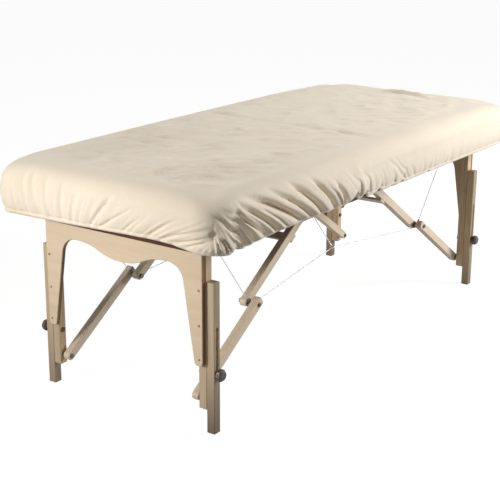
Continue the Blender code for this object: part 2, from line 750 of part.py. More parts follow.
def leaf_outline(knuckles, owned, notch_edge, far_edge):
    """Comb-shaped leaf (y, distance from the axis): it reaches the axis only at its own knuckles."""
    points = []
    for place, (low, high) in enumerate(knuckles):
        if place % 2 == owned:
            points += [(low, notch_edge), (low, 0.0), (high, 0.0), (high, notch_edge)]
    if owned == 0:
        points = points[1:-1]
    else:
        points = [(knuckles[0][0], notch_edge), *points, (knuckles[-1][1], notch_edge)]
    return [*points, (knuckles[-1][1], far_edge), (knuckles[0][0], far_edge)]


def fixed_leaf(plate, axis_point, knuckles):
    return combined(plate, fixed_barrel(axis_point, knuckles), "UNION")


def swinging_leaf(plate, axis_point, knuckles):
    """Leaf whose knuckles are bored for the pin."""
    radius = HINGE_BARREL_RADIUS
    sleeves = [turned(1, axis_point, ((low, radius), (high, radius))) for low, high in knuckles[1::2]]
    whole = combined(plate, joined(sleeves), "UNION")
    bore = HINGE_PIN_RADIUS + PIN_CLEARANCE
    ends = ((knuckles[0][0], bore), (knuckles[-1][1], bore))
    return combined(whole, turned(1, axis_point, ends), "DIFFERENCE")


def leg_hinge(end):
    """Leaf on the beam and leaf on both posts of one end."""
    axis_point = (end * LEG_HINGE_U, LEG_HINGE_Z)
    knuckles = hinge_knuckles(2 * (POST_OUTER - LEG_HINGE_INSET), LEG_HINGE_KNUCKLES)
    span = sorted((end * (LEG_INNER - GAP), end * (LEG_INNER - GAP - HINGE_LEAF_THICKNESS)))
    up = [(y, LEG_HINGE_Z + d) for y, d in leaf_outline(knuckles, 0, HINGE_NOTCH, LEG_HINGE_BEAM_LEAF)]
    down = [(y, LEG_HINGE_Z - d) for y, d in leaf_outline(knuckles, 1, HINGE_NOTCH, LEG_HINGE_LEAF)]
    fixed = fixed_leaf(prism(up, 0, *span), axis_point, knuckles)
    return fixed, swinging_leaf(prism(down, 0, *span), axis_point, knuckles)


def centre_hinge():
    """Leaves under the two centre rails: the near one carries the pin, the far one swings."""
    axis_point = (0.0, CENTRE_HINGE_Z)
    knuckles = hinge_knuckles(CENTRE_HINGE_WIDTH, CENTRE_HINGE_KNUCKLES)
    high = FRAME_UNDERSIDE - GAP
    low = high - HINGE_LEAF_THICKNESS
    near = [(-d, y) for y, d in leaf_outline(knuckles, 0, HINGE_NOTCH, CENTRE_HINGE_LEAF)]
    far = [(d, y) for y, d in leaf_outline(knuckles, 1, HINGE_NOTCH, CENTRE_HINGE_LEAF)]
    fixed = fixed_leaf(prism(near, 2, low, high), axis_point, knuckles)
    return fixed, swinging_leaf(prism(far, 2, low, high), axis_point, knuckles)


# Cables
def swept(route, radius, sides):
    """Tube along a taut route, mitred at each bend."""
    solid = bmesh.new()
    directions = [(after - before).normalized() for before, after in zip(route, route[1:])]
    side = directions[0].orthogonal().normalized()
    lift = directions[0].cross(side)
    ring = []
    for step in range(sides):
        angle = 2 * math.pi * step / sides
        ring.append(route[0] + radius * (math.cos(angle) * side + math.sin(angle) * lift))
    rings = [[solid.verts.new(point) for point in ring]]
    for place, direction in zip(range(1, len(route)), directions):
        onward = directions[place] if place < len(directions) else direction
        plane = (direction + onward).normalized()
        ring = [p + direction * ((route[place] - p).dot(plane) / direction.dot(plane)) for p in ring]
        rings.append([solid.verts.new(point) for point in ring])
    solid.faces.new(rings[0])
    solid.faces.new(rings[-1])
    for first, second in zip(rings, rings[1:]):
        ring_faces(solid, first, second)
    bmesh.ops.recalc_face_normals(solid, faces=solid.faces)
    return solid


def cable_anchor(end, side):
    """Centre of the anchor's base, on the hinge leaf at the leg beam."""
    seat = LEG_INNER - 2 * GAP - HINGE_LEAF_THICKNESS
    return Vector((end * seat, side * CABLE_Y, BEAM_BOTTOM + ANCHOR_RISE))


def cable_bend(end, side, anchor, tie):
    """Where the cable bends round the spool of the knuckle bolt."""
    knuckle = Vector((end * KNUCKLE.x, side * CABLE_Y, KNUCKLE.y))
    outwards = (anchor - knuckle).normalized()
    inwards = (tie - knuckle).normalized()
    half_angle = outwards.angle(inwards) / 2
    middle = outwards + inwards
    middle.y = 0.0
    reach = (SPOOL_RADIUS + CABLE_RADIUS + GAP) / math.sin(half_angle)
    return knuckle - middle.normalized() * reach


def brace_cable(side):
    """Steel cable along one side: leg beam, knuckle, tie in the middle, knuckle, leg beam, and its hanger."""
    tie = Vector((0.0, side * CABLE_TIE_Y, CABLE_TIE_Z))
    anchors = {end: cable_anchor(end, side) for _, end in ENDS}
    starts = {}
    fittings = []
    for end, anchor in anchors.items():
        tip = anchor.x - end * ANCHOR_LENGTH
        fittings.append(turned(0, (anchor.y, anchor.z), ((anchor.x, ANCHOR_RADIUS), (tip, ANCHOR_RADIUS))))
        starts[end] = Vector((anchor.x - end * ANCHOR_LENGTH / 2, anchor.y, anchor.z))
    bends = {end: cable_bend(end, side, starts[end], tie) for end in anchors}
    route = [starts[-1], bends[-1], tie, bends[1], starts[1]]
    ferrule = ((tie.y - FERRULE_LENGTH / 2, FERRULE_RADIUS), (tie.y + FERRULE_LENGTH / 2, FERRULE_RADIUS))
    fittings.append(turned(1, (tie.x, tie.z), ferrule))
    cable = combined(swept(route, CABLE_RADIUS, CABLE_SIDES), joined(fittings), "UNION")
    hook_back = -(FRAME_SEAM + RAIL_THICKNESS + GAP)
    hook_face = hook_back - HOOK_THICKNESS
    half = HOOK_SIZE / 2
    y_range = (side * HOOK_Y - half, side * HOOK_Y + half)
    hook = box((hook_back, hook_face), y_range, (HOOK_Z - half, HOOK_Z + half))
    hanger_top = Vector((hook_face + HOOK_THICKNESS / 4, side * HOOK_Y, HOOK_Z))
    hanger = combined(hook, swept([hanger_top, tie], CABLE_RADIUS, CABLE_SIDES), "UNION")
    return combined(cable, hanger, "UNION")


# Assembly
def build_half(end_name, end, parent, materials):
    place = parent["place"]
    wood = materials["beech"]
    for side_name, side in SIDES:
        finish(f"{end_name}_side_rail_{side_name}", side_rail(end, side), wood, parent, place)
    finish(f"{end_name}_end_rail", end_rail(end), wood, parent, place)
    centre_rail = cross_rail(end, FRAME_SEAM, FRAME_SEAM + RAIL_THICKNESS, FRAME_UNDERSIDE)
    finish(f"{end_name}_centre_rail", centre_rail, wood, parent, place)
    beam = cross_rail(end, LEG_INNER, PANEL_OUTER, BEAM_BOTTOM)
    finish(f"{end_name}_leg_beam", beam, wood, parent, place)
    finish(f"{end_name}_deck", deck(end), materials["plywood"], parent, place)
    finish(f"{end_name}_foam", foam_pad(end), materials["foam"], parent, place, SOFT_ANGLE)
    finish(f"{end_name}_upholstery", upholstery(end), materials["vinyl"], parent, place, SOFT_ANGLE)
    finish(f"{end_name}_sheet", half_sheet(end), materials["cotton"], parent, place, SOFT_ANGLE)
    finish(f"{end_name}_brace_bracket", brace_bracket(end), materials["steel"], parent, place, ROUND_ANGLE)


def build_leg(end_name, end, half, materials):
    place = (end * LEG_HINGE_U, 0.0, LEG_HINGE_Z)
    wood = materials["beech"]
    steel = materials["steel"]
    leg = make_empty(f"{end_name}_leg_axis", place, half)
    finish(f"{end_name}_end_panel", end_panel(end), materials["plywood"], leg, place)
    beam_leaf, leg_leaf = leg_hinge(end)
    finish(f"{end_name}_hinge_beam_leaf", beam_leaf, steel, half, half["place"], ROUND_ANGLE)
    finish(f"{end_name}_hinge_leg_leaf", leg_leaf, steel, leg, place, ROUND_ANGLE)
    for side_name, side in SIDES:
        finish(f"{end_name}_post_{side_name}", leg_post(end, side), wood, leg, place)
        bolt = lower_pivot_bolt(end, side)
        finish(f"{end_name}_lower_bolt_{side_name}", bolt, steel, leg, place, ROUND_ANGLE)
        foot = (end * LEG_MIDDLE, side * (EXTENSION_INNER + EXTENSION_OUTER) / 2, 0.0)
        finish(f"{end_name}_extension_{side_name}", leg_extension(end, side), wood, leg, foot)
        spindle = (end * LEG_MIDDLE, side * EXTENSION_OUTER, KNOB_HEIGHT)
        knob = clamp_knob(end, side)
        finish(f"{end_name}_knob_{side_name}", knob, materials["knob_plastic"], leg, spindle, ROUND_ANGLE)
    return leg


def build_brace(end_name, end, half, leg, materials):
    wood = materials["beech"]
    steel = materials["steel"]
    lower_place = (end * LOWER_PIVOT.x, 0.0, LOWER_PIVOT.y)
    upper_place = (end * UPPER_PIVOT.x, 0.0, UPPER_PIVOT.y)
    lower = make_empty(f"{end_name}_lower_brace_axis", lower_place, leg)
    upper = make_empty(f"{end_name}_upper_brace_axis", upper_place, half)
    for side_name, side in SIDES:
        finish(f"{end_name}_lower_strut_{side_name}", lower_strut(end, side), wood, lower, lower_place)
        finish(f"{end_name}_upper_strut_{side_name}", upper_strut(end, side), wood, upper, upper_place)
        bolt = knuckle_bolt(end, side)
        finish(f"{end_name}_knuckle_bolt_{side_name}", bolt, steel, upper, upper_place, ROUND_ANGLE)
    finish(f"{end_name}_crossbar", crossbar(end), wood, upper, upper_place)


def main():
    clear_scene()
    materials = make_materials()
    near_half = make_empty("near_half_axis", (0.0, 0.0, 0.0))
    far_half = make_empty("far_half_axis", (0.0, 0.0, CENTRE_HINGE_Z), near_half)
    halves = {"near": near_half, "far": far_half}
    for end_name, end in ENDS:
        half = halves[end_name]
        build_half(end_name, end, half, materials)
        leg = build_leg(end_name, end, half, materials)
        build_brace(end_name, end, half, leg, materials)
    steel = materials["steel"]
    near_leaf, far_leaf = centre_hinge()
    finish("centre_hinge_near_leaf", near_leaf, steel, near_half, near_half["place"], ROUND_ANGLE)
    finish("centre_hinge_far_leaf", far_leaf, steel, far_half, far_half["place"], ROUND_ANGLE)
    for side_name, side in SIDES:
        cable = brace_cable(side)
        finish(f"brace_cable_{side_name}", cable, steel, near_half, near_half["place"], ROUND_ANGLE)


main()
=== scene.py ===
"""Looks of the folding massage table: sheet, pads, cables, fasteners, finishes, light and camera."""

import math
import random

import bpy
import numpy as np
from mathutils import Matrix, Vector, noise


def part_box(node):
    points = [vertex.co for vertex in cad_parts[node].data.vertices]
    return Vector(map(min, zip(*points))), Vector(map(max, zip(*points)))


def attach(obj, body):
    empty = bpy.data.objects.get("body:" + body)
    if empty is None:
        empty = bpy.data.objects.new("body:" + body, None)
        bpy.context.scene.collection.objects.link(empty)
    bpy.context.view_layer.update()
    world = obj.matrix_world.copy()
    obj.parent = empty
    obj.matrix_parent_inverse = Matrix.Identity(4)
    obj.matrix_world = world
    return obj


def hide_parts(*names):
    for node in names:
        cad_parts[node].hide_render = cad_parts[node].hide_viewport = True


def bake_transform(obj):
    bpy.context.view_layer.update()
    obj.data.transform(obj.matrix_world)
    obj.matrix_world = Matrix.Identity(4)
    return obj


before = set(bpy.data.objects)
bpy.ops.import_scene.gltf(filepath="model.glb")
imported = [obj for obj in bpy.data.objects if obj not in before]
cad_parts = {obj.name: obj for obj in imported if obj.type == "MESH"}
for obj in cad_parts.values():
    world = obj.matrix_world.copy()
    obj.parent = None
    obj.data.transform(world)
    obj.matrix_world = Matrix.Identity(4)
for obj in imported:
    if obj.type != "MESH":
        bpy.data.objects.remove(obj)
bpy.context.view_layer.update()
scene = bpy.context.scene


def frame_box(node):
    """Lowest and highest corner of a node, to a hundredth of a millimetre."""
    return [[round(value, 5) for value in corner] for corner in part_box(node)]


def frame_middle(node):
    """Middle of a node's box."""
    return [round((low + high) / 2, 5) for low, high in zip(*frame_box(node))]


# The two ends and the two sides, with the direction each one faces
ENDS = (("near", -1), ("far", 1))
SIDES = (("left", 1), ("right", -1))

# Camera, from the photograph's perspective
IMAGE_PIXELS = 500
FOCAL_PIXELS = 1195.88
SENSOR_WIDTH = 36.0
CAMERA_PLACE = Vector((-3.115, -2.0823, 1.432))
CAMERA_YAW = math.radians(35.474)
CAMERA_PITCH = math.radians(-17.268)
CAMERA_ROLL = math.radians(0.275)

# Pads, from the upholstery, the rails and the deck
(PAD_SEAM, _, _), (PAD_END, PAD_HALF_WIDTH, PAD_TOP) = frame_box("far_upholstery")
RAIL_GAP = 0.0003
DECK_GAP = 0.0001
PAD_BOTTOM = frame_box("far_end_rail")[0][2] - RAIL_GAP
PAD_FOAM = frame_box("far_deck")[1][2] + DECK_GAP
PAD_LIP = 0.016
PAD_EDGE = 0.055
PAD_CORNER = 0.045
PAD_SEAM_CORNER = 0.006
LEAST_CORNER = 0.004
PAD_CORNER_STEPS = 10
PAD_EDGE_STEPS = 8
PAD_MIDDLE = 0.3
PAD_WALL_HEIGHTS = (0.56, 0.585, 0.607, 0.63)
VINYL_THICKNESS = 0.0012
VINYL_ROUND = 0.002
VINYL_TURN = 0.001
# Crown of the pads: the drop at its edge, and inset and drop of the rings further in
PAD_CROWN = 0.002
PAD_CROWN_RINGS = ((0.07, 0.0014), (0.12, 0.0008), (0.2, 0.0003), (PAD_MIDDLE, 0.0))

# Fitted sheet: its outline and top follow the pads
HALF_LENGTH = PAD_END + 0.012
HALF_WIDTH = PAD_HALF_WIDTH + 0.016
SHEET_TOP = PAD_TOP + 0.0034
SHEET_CORNER = 0.08
SHEET_CROWN = 0.004
SHOULDER_REACH = 0.072
SHOULDER_DROP = 0.06
SHOULDER_LENGTH = 0.5 * math.pi * math.sqrt((SHOULDER_REACH ** 2 + SHOULDER_DROP ** 2) / 2)
INNER_X = HALF_LENGTH - SHOULDER_REACH
INNER_Y = HALF_WIDTH - SHOULDER_REACH
WALL_TOP = SHEET_TOP - SHOULDER_DROP
# Sag of the padded corners and of the far end, and lift of the left edge
CORNER_SAG = 0.034
SAG_REACH = 0.18
FAR_SAG = 0.008
FAR_SAG_SPAN = (0.4, 0.82)
EDGE_LIFT = 0.006
EDGE_LIFT_SPAN = (0.1, 0.3)
EDGE_LIFT_FADE = 0.5
# Mesh of the sheet
TOP_COLUMNS = 180
TOP_ROWS = 76
COLUMN_SPLIT = 3
SHOULDER_ROWS = 18
WALL_ROWS = 26
HEM_ROWS = 6

# Brace cables
CABLE_RADIUS = 0.0014
CABLE_SIDES = 10
CABLE_STEPS = 24
CABLE_Y = 0.221
CABLE_BEND = 0.0078
CABLE_TIE = (0.0, 0.185, 0.312)
KNUCKLE = frame_middle("far_knuckle_bolt_left")
ANCHOR = (0.7524, 0.598)
HOOK = (-0.0273, 0.014, 0.549)
# Share of the far long stay that spans the seam
SEAM_SHARE = 0.25
# Turned fittings: distance along the axis and radius
CRIMP = ((0.006, 0.0021), (0.008, 0.0032), (0.028, 0.0032), (0.03, 0.0021))
FERRULE = ((-0.006, 0.0025), (-0.005, 0.0036), (0.005, 0.0036), (0.006, 0.0025))
HOOK_PLATE = ((-0.003, 0.006), (-0.002, 0.008), (0.002, 0.008), (0.003, 0.006))
STUD = ((-0.005, 0.0035), (-0.004, 0.005), (0.004, 0.005), (0.005, 0.0045))

# Small fasteners
PANEL_FACE = frame_box("far_end_panel")[1][0]
SCREW_Y = frame_middle("far_post_left")[1]
SCREW_HEIGHTS = (0.407, 0.309, 0.213)
STRUT_FACES = [corner[1] for corner in frame_box("far_lower_strut_left")]
FOOT_BOLT = (0.7687, 0.094)
ROUND_SIDES = 24
HEXAGON_SIDES = 6
SCREW_HEAD = ((-0.0005, 0.0036), (0.0006, 0.0036), (0.0015, 0.0028), (0.002, 0.0014))
WASHER = ((0.0, 0.0075), (0.0012, 0.0075), (0.0015, 0.0068))
BOLT_HEAD = ((0.0013, 0.0052), (0.0046, 0.0052), (0.0056, 0.0044))


def make_camera():
    """Camera at the photograph's place, turned by its yaw, pitch and roll."""
    data = bpy.data.cameras.new("camera")
    data.sensor_width = SENSOR_WIDTH
    data.lens = SENSOR_WIDTH * FOCAL_PIXELS / IMAGE_PIXELS
    camera = bpy.data.objects.new("camera", data)
    scene.collection.objects.link(camera)
    yaw = Matrix.Rotation(CAMERA_YAW - math.pi / 2, 4, "Z")
    pitch = Matrix.Rotation(CAMERA_PITCH + math.pi / 2, 4, "X")
    roll = Matrix.Rotation(CAMERA_ROLL, 4, "Z")
    camera.matrix_world = Matrix.Translation(CAMERA_PLACE) @ yaw @ pitch @ roll
    scene.camera = camera


# Meshes
def mesh_object(name, points, faces, material, smooth=True):
    """New object from points and faces, in place."""
    mesh = bpy.data.meshes.new(name)
    mesh.from_pydata([tuple(p) for p in points], [], faces)
    mesh.update()
    mesh.materials.append(material)
    mesh.polygons.foreach_set("use_smooth", [smooth] * len(mesh.polygons))
    obj = bpy.data.objects.new(name, mesh)
    scene.collection.objects.link(obj)
    return obj


def ring_faces(rings, count):
    """Quads between closed rings of the same number of points."""
    faces = []
    for ring in range(rings - 1):
        for step in range(count):
            a = ring * count + step
            b = ring * count + (step + 1) % count
            faces.append((a, b, b + count, a + count))
    return faces


def capped_faces(rings, count):
    """Quads between rings, with a cap on the first ring and one on the last."""
    last = (rings - 1) * count
    return ring_faces(rings, count) + [tuple(reversed(range(count))), tuple(range(last, last + count))]


def circle(radius, sides, along=0.0):
    """Points of a circle round the z axis, at a distance along it."""
    angles = [2 * math.pi * step / sides for step in range(sides)]
    return [Vector((radius * math.cos(angle), radius * math.sin(angle), along)) for angle in angles]


def lathe(name, centre, axis, profile, material, sides=ROUND_SIDES):
    """Turned piece along axis: profile is (along, radius), from one capped end to the other."""
    turn = Vector(axis).normalized().to_track_quat("Z", "Y")
    points = []
    for along, radius in profile:
        points.extend(Vector(centre) + turn @ spoke for spoke in circle(radius, sides, along))
    faces = capped_faces(len(profile), sides)
    return mesh_object(name, points, faces, material, sides > HEXAGON_SIDES)


def cable(name, start, end):
    """Round steel cable between two points, divided along its length so that it can bend."""
    turn = (end - start).to_track_quat("Z", "X")
    spokes = [turn @ spoke for spoke in circle(CABLE_RADIUS, CABLE_SIDES)]
    points = []
    for step in range(CABLE_STEPS + 1):
        place = start.lerp(end, step / CABLE_STEPS)
        points.extend(place + spoke for spoke in spokes)
    return mesh_object(name, points, capped_faces(CABLE_STEPS + 1, CABLE_SIDES), CABLE_STEEL)


# Node materials
def add_node(tree, kind, output, inputs, **settings):
    """Output of a new node. Each of its inputs is a value, or the output of another node."""
    node = tree.nodes.new(f"ShaderNode{kind}")
    for key, value in settings.items():
        setattr(node, key, value)
    for key, value in inputs.items():
        set_input(tree, node.inputs[key], value)
    return node.outputs[output]


def set_input(tree, socket, value):
    """Set an input to a value, or join it to the output of another node."""
    if isinstance(value, bpy.types.NodeSocket):
        tree.links.new(value, socket)
    else:
        socket.default_value = value


# Range that most of a noise texture lies in
CLOUD = (0.3, 0.7)


class Shader:
    """A new material with its main shader, and short calls that add nodes and give back an output."""

    def __init__(self, name):
        self.material = bpy.data.materials.new(name)
        self.material.use_nodes = True
        self.tree = self.material.node_tree
        self.main = self.tree.nodes["Principled BSDF"]
        self.where = add_node(self.tree, "TexCoord", "Object", {})
        self.normal = add_node(self.tree, "TexCoord", "Normal", {})

    def part(self, source, axis):
        return add_node(self.tree, "SeparateXYZ", axis, {"Vector": source})

    def mapped(self, stretch, turn=(0, 0, 0), place=(0, 0, 0)):
        inputs = {"Vector": self.where, "Location": place, "Rotation": turn, "Scale": stretch}
        return add_node(self.tree, "Mapping", "Vector", inputs, vector_type="TEXTURE")

    def noise(self, scale, detail=2.0, rough=0.5, distortion=0.0, where=None):
        inputs = {"Scale": scale, "Detail": detail, "Roughness": rough, "Distortion": distortion}
        return add_node(self.tree, "TexNoise", "Fac", {"Vector": where or self.where, **inputs})

    def wave(self, scale, direction, distortion):
        inputs = {"Vector": self.where, "Scale": scale, "Distortion": distortion}
        return add_node(self.tree, "TexWave", "Fac", inputs, bands_direction=direction)

    def cells(self, scale):
        return add_node(self.tree, "TexVoronoi", "Distance", {"Vector": self.where, "Scale": scale})

    def range(self, source, low, high, to_low, to_high):
        inputs = {"From Min": low, "From Max": high, "To Min": to_low, "To Max": to_high}
        return add_node(self.tree, "MapRange", "Result", {"Value": source, **inputs})

    def share(self, source, low, high, most=1.0):
        """Nothing at low, rising to the most at high."""
        return self.range(source, low, high, 0.0, most)

    def math(self, operation, first, second):
        return add_node(self.tree, "Math", "Value", {0: first, 1: second}, operation=operation)

    def mix(self, share, first, second):
        """Two colours, each written out or an output, mixed by a share."""
        node = self.tree.nodes.new("ShaderNodeMix")
        node.data_type = "RGBA"
        for name, value in (("Factor", share), ("A", first), ("B", second)):
            socket = [s for s in node.inputs if s.name == name and s.enabled][0]
            set_input(self.tree, socket, (*value, 1.0) if isinstance(value, tuple) else value)
        return [s for s in node.outputs if s.enabled][0]

    def clouds(self, cloud, first, second):
        """Two colours in soft clouds."""
        return self.mix(self.share(cloud, *CLOUD), first, second)

    def bump(self, height, strength, distance, before=None):
        """Normals bent by a height, on top of those bent before."""
        inputs = {"Strength": strength, "Distance": distance, "Height": height}
        if before is not None:
            inputs["Normal"] = before
        return add_node(self.tree, "Bump", "Normal", inputs)

    def finish(self, **settings):
        """The material, with each setting of its main shader a number or an output."""
        for name, value in settings.items():
            socket = name.replace("_", " ").title().replace("Ior", "IOR")
            set_input(self.tree, self.main.inputs[socket], value)
        return self.material

    def clouded(self, cloud, tones, gloss, height, strength, distance, **settings):
        """The material with two tones and two degrees of gloss in clouds, and a fine relief."""
        colour = self.clouds(cloud, *tones)
        roughness = self.range(cloud, *CLOUD, *gloss)
        normal = self.bump(height, strength, distance)
        return self.finish(base_color=colour, roughness=roughness, normal=normal, **settings)


def dimmed(colour, share):
    """A share of a colour."""
    return tuple(share * c for c in colour)


COTTON_TONES = ((0.84, 0.742, 0.6), (0.87, 0.775, 0.635))
COTTON_SLUB = (0.78, 0.68, 0.53)
THREAD_SCALE = 260.0


def cotton():
    """Cream cotton: plain weave, soft slubs and a slight unevenness of tone."""
    s = Shader("cotton_sheet")
    slub = s.noise(1.0, where=s.mapped((0.05, 0.004, 0.05)))
    colour = s.clouds(s.noise(7.0, detail=3.0), *COTTON_TONES)
    colour = s.mix(s.share(slub, 0.45, 0.8, most=0.35), colour, COTTON_SLUB)
    warp, weft = (s.wave(THREAD_SCALE, axis, distortion=0.6) for axis in "XY")
    weave = s.bump(s.math("MULTIPLY", warp, weft), strength=0.12, distance=0.0004)
    normal = s.bump(s.noise(60.0, detail=4.0), strength=0.12, distance=0.002, before=weave)
    return s.finish(base_color=colour, roughness=0.92, normal=normal, sheen_weight=0.25,
                    sheen_roughness=0.5, specular_ior_level=0.15)


VINYL_TONES = ((0.062, 0.026, 0.013), (0.088, 0.036, 0.018))
VINYL_GLOSS = (0.52, 0.66)


def vinyl():
    """Dark burgundy upholstery vinyl with a pebbled grain."""
    s = Shader("burgundy_vinyl")
    cloud = s.noise(9.0, detail=3.0)
    return s.clouded(cloud, VINYL_TONES, VINYL_GLOSS, s.cells(520.0), strength=0.35, distance=0.0005,
                     specular_ior_level=0.2)


# Step of the grain from one seed to the next
GRAIN_STEP = (0.37, 0.21, 0.13)
WOOD_GLOSS = (0.42, 0.55)
OFF_TONE_STREAKS = (0.35, 0.7)
# Painted shade towards the floor: its tone, the height it reaches and how much that height wavers
FOOT_SHADE_TONE = (0.13, 0.085, 0.055)
FOOT_SHADE_HEIGHT = 0.19
FOOT_SHADE_WAVER = 0.02


def wood(name, tones, turn, seed, streaks=0.5, stain=None, face=0, back=None, worn=0.0):
    """Wood with its grain along one direction. A second tone covers all but the side that looks along x
    the way of face, and a back colour the opposite side. The foot share darkens it towards the floor:
    painted shade."""
    s = Shader(name)
    place = tuple(step * seed for step in GRAIN_STEP)
    grain = s.mapped((14.0, 1.0, 1.0), turn, place)
    figure = s.noise(26.0, detail=4.0, rough=0.55, distortion=0.8, where=grain)
    fibre = s.noise(420.0, detail=3.0, where=s.mapped((40.0, 1.0, 1.0), turn, place))
    pores = s.noise(900.0, detail=1.0, where=s.mapped((9.0, 0.6, 0.6), turn, place))
    light, dark = tones
    colour = s.mix(s.share(figure, 0.32, 0.7), light, dark)
    colour = s.mix(s.share(fibre, 0.45, 0.8, most=streaks), colour, dimmed(dark, 0.72))
    # Faces not turned the way of face take the second tone, and the back face the back tone: painted
    # shade and painted light on the legs.
    if stain is not None:
        facing = s.math("MULTIPLY", s.part(s.normal, "X"), float(face))
        stained = s.mix(s.share(fibre, *OFF_TONE_STREAKS), stain, dimmed(stain, 0.6))
        colour = s.mix(s.range(facing, 0.55, 0.8, 1.0, 0.0), colour, stained)
        if back is not None:
            backed = s.mix(s.share(fibre, *OFF_TONE_STREAKS), back, dimmed(back, 0.75))
            colour = s.mix(s.range(facing, -0.8, -0.55, 1.0, 0.0), colour, backed)
    # Painted shade: darker towards the floor by the foot share.
    if worn > 0:
        height = s.math("ADD", s.part(s.where, "Z"), s.range(figure, *CLOUD, -FOOT_SHADE_WAVER, FOOT_SHADE_WAVER))
        colour = s.mix(s.range(height, 0.0, FOOT_SHADE_HEIGHT, worn, 0.0), colour, FOOT_SHADE_TONE)
    normal = s.bump(fibre, strength=0.1, distance=0.0006)
    normal = s.bump(pores, strength=0.06, distance=0.0004, before=normal)
    gloss = s.range(figure, *CLOUD, *WOOD_GLOSS)
    return s.finish(base_color=colour, roughness=gloss, normal=normal, specular_ior_level=0.4)


STEEL_SPREAD = 0.15


def steel(name, tone, roughness):
    """Plated steel with fine brushing and slightly uneven gloss."""
    s = Shader(name)
    brushed = s.noise(12.0, detail=3.0, where=s.mapped((0.02, 0.4, 0.02)))
    tones = (tone, dimmed(tone, 0.8))
    gloss = (roughness, roughness + STEEL_SPREAD)
    return s.clouded(s.noise(60.0), tones, gloss, brushed, strength=0.08, distance=0.0003, metallic=1.0)


PLASTIC_TONES = ((0.052, 0.033, 0.022), (0.086, 0.056, 0.038))
PLASTIC_GLOSS = (0.38, 0.5)


def plastic():
    """Moulded knob plastic, dark brown, with a fine spark texture."""
    s = Shader("knob_plastic")
    spark = s.noise(1400.0)
    return s.clouded(s.noise(90.0), PLASTIC_TONES, PLASTIC_GLOSS, spark, strength=0.25, distance=0.0003)


COTTON = cotton()
BURGUNDY = vinyl()
STEEL = steel("plated_steel", (0.55, 0.54, 0.51), 0.32)
DARK_STEEL = steel("dark_steel", (0.16, 0.15, 0.14), 0.38)
BROWN_STEEL = steel("bronzed_steel", (0.3, 0.2, 0.115), 0.45)
CABLE_STEEL = steel("cable_steel", (0.62, 0.62, 0.61), 0.4)
PLASTIC = plastic()

# Grain directions: along x, across y, up z, and along the two braces
BRACE_SLOPE = math.radians(33.95)
GRAIN = {
    "x": (0.0, 0.0, 0.0),
    "y": (0.0, 0.0, math.pi / 2),
    "z": (0.0, -math.pi / 2, 0.0),
    "near_brace": (0.0, -BRACE_SLOPE, 0.0),
    "far_brace": (0.0, BRACE_SLOPE, 0.0),
}
# Light and dark tone of each wood, the second tones of some faces, and how dark each foot gets in painted
# shade
BIRCH = ((0.74, 0.6, 0.435), (0.675, 0.535, 0.375))
BEECH = ((0.575, 0.455, 0.315), (0.455, 0.345, 0.225))
# Brace tones, paler than the legs' beech: painted light on the struts and crossbars.
BRACE_LIT_TONES = ((0.8, 0.67, 0.51), (0.7, 0.565, 0.41))
# Dark wood of the rails, deck and beams under the top: painted shade under the table.
SHADE_DARK_WOOD = ((0.145, 0.098, 0.066), (0.1, 0.066, 0.044))
# Darker tone of the panels' edges.
PANEL_EDGE_TONE = (0.28, 0.14, 0.066)
# Darker tone of the sliders' sides: painted shade.
SIDE_PAINTED_SHADE = (0.4, 0.32, 0.215)
# Warmer, paler tone of the posts' other faces and of the panels' and sliders' backs: painted light under
# the table.
INNER_PAINTED_LIGHT = (0.78, 0.56, 0.35)
PANEL_STREAKS = 0.22
# How far each foot darkens towards the floor: painted shade.
FOOT_SHADE_SHARES = {"near_left": 0.35, "near_right": 0.9, "far_left": 0.65, "far_right": 0.65}


def end_finishes(end_name, end):
    """Finish of every CAD node of one end that stays in sight."""
    def timber(kind, tones, grain, seed, **more):
        return wood(f"{end_name}_{kind}", tones, GRAIN[grain], seed + end, **more)

    # Panels: darker edges, and the back in painted light.
    panel = timber("birch_panel", BIRCH, "y", 2, streaks=PANEL_STREAKS, stain=PANEL_EDGE_TONE, face=end,
                   back=INNER_PAINTED_LIGHT)
    # Posts: pale outer face, the other faces in painted light.
    upright = timber("beech_leg", BEECH, "z", 5, stain=INNER_PAINTED_LIGHT, face=end)
    # Struts and crossbars in the paler brace tones: painted light.
    brace = timber("beech_brace", BRACE_LIT_TONES, f"{end_name}_brace", 8)
    # Rails, deck and beams in dark wood: painted shade under the table.
    cross = timber("stained_cross", SHADE_DARK_WOOD, "y", 11)
    along = timber("stained_rail", SHADE_DARK_WOOD, "x", 14)
    bar = timber("beech_bar", BRACE_LIT_TONES, "y", 17)
    single = (
        (panel, "end_panel"),
        (along, "deck"),
        (bar, "crossbar"),
        (cross, "leg_beam end_rail centre_rail"),
        (STEEL, "brace_bracket hinge_beam_leaf hinge_leg_leaf"),
    )
    finishes = {f"{end_name}_{part}": finish for finish, parts in single for part in parts.split()}
    finishes[f"centre_hinge_{end_name}_leaf"] = STEEL
    for side_name, _ in SIDES:
        # Sliders: sides in painted shade, back in painted light, darker towards the floor in painted
        # shade.
        slider = timber(f"{side_name}_beech_slider", BEECH, "z", 6, stain=SIDE_PAINTED_SHADE, face=end,
                        back=INNER_PAINTED_LIGHT, worn=FOOT_SHADE_SHARES[f"{end_name}_{side_name}"])
        paired = (
            (along, "side_rail"),
            (upright, "post"),
            (slider, "extension"),
            (brace, "lower_strut upper_strut"),
            (DARK_STEEL, "lower_bolt knuckle_bolt"),
            (PLASTIC, "knob"),
        )
        for finish, parts in paired:
            for part in parts.split():
                finishes[f"{end_name}_{part}_{side_name}"] = finish
    return finishes


def dress_nodes():
    """Give every CAD node that stays in sight its finish."""
    for end_name, end in ENDS:
        for node, finish in end_finishes(end_name, end).items():
            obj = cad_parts[node]
            for slot in obj.material_slots:
                slot.material = finish
            if not obj.material_slots:
                obj.data.materials.append(finish)


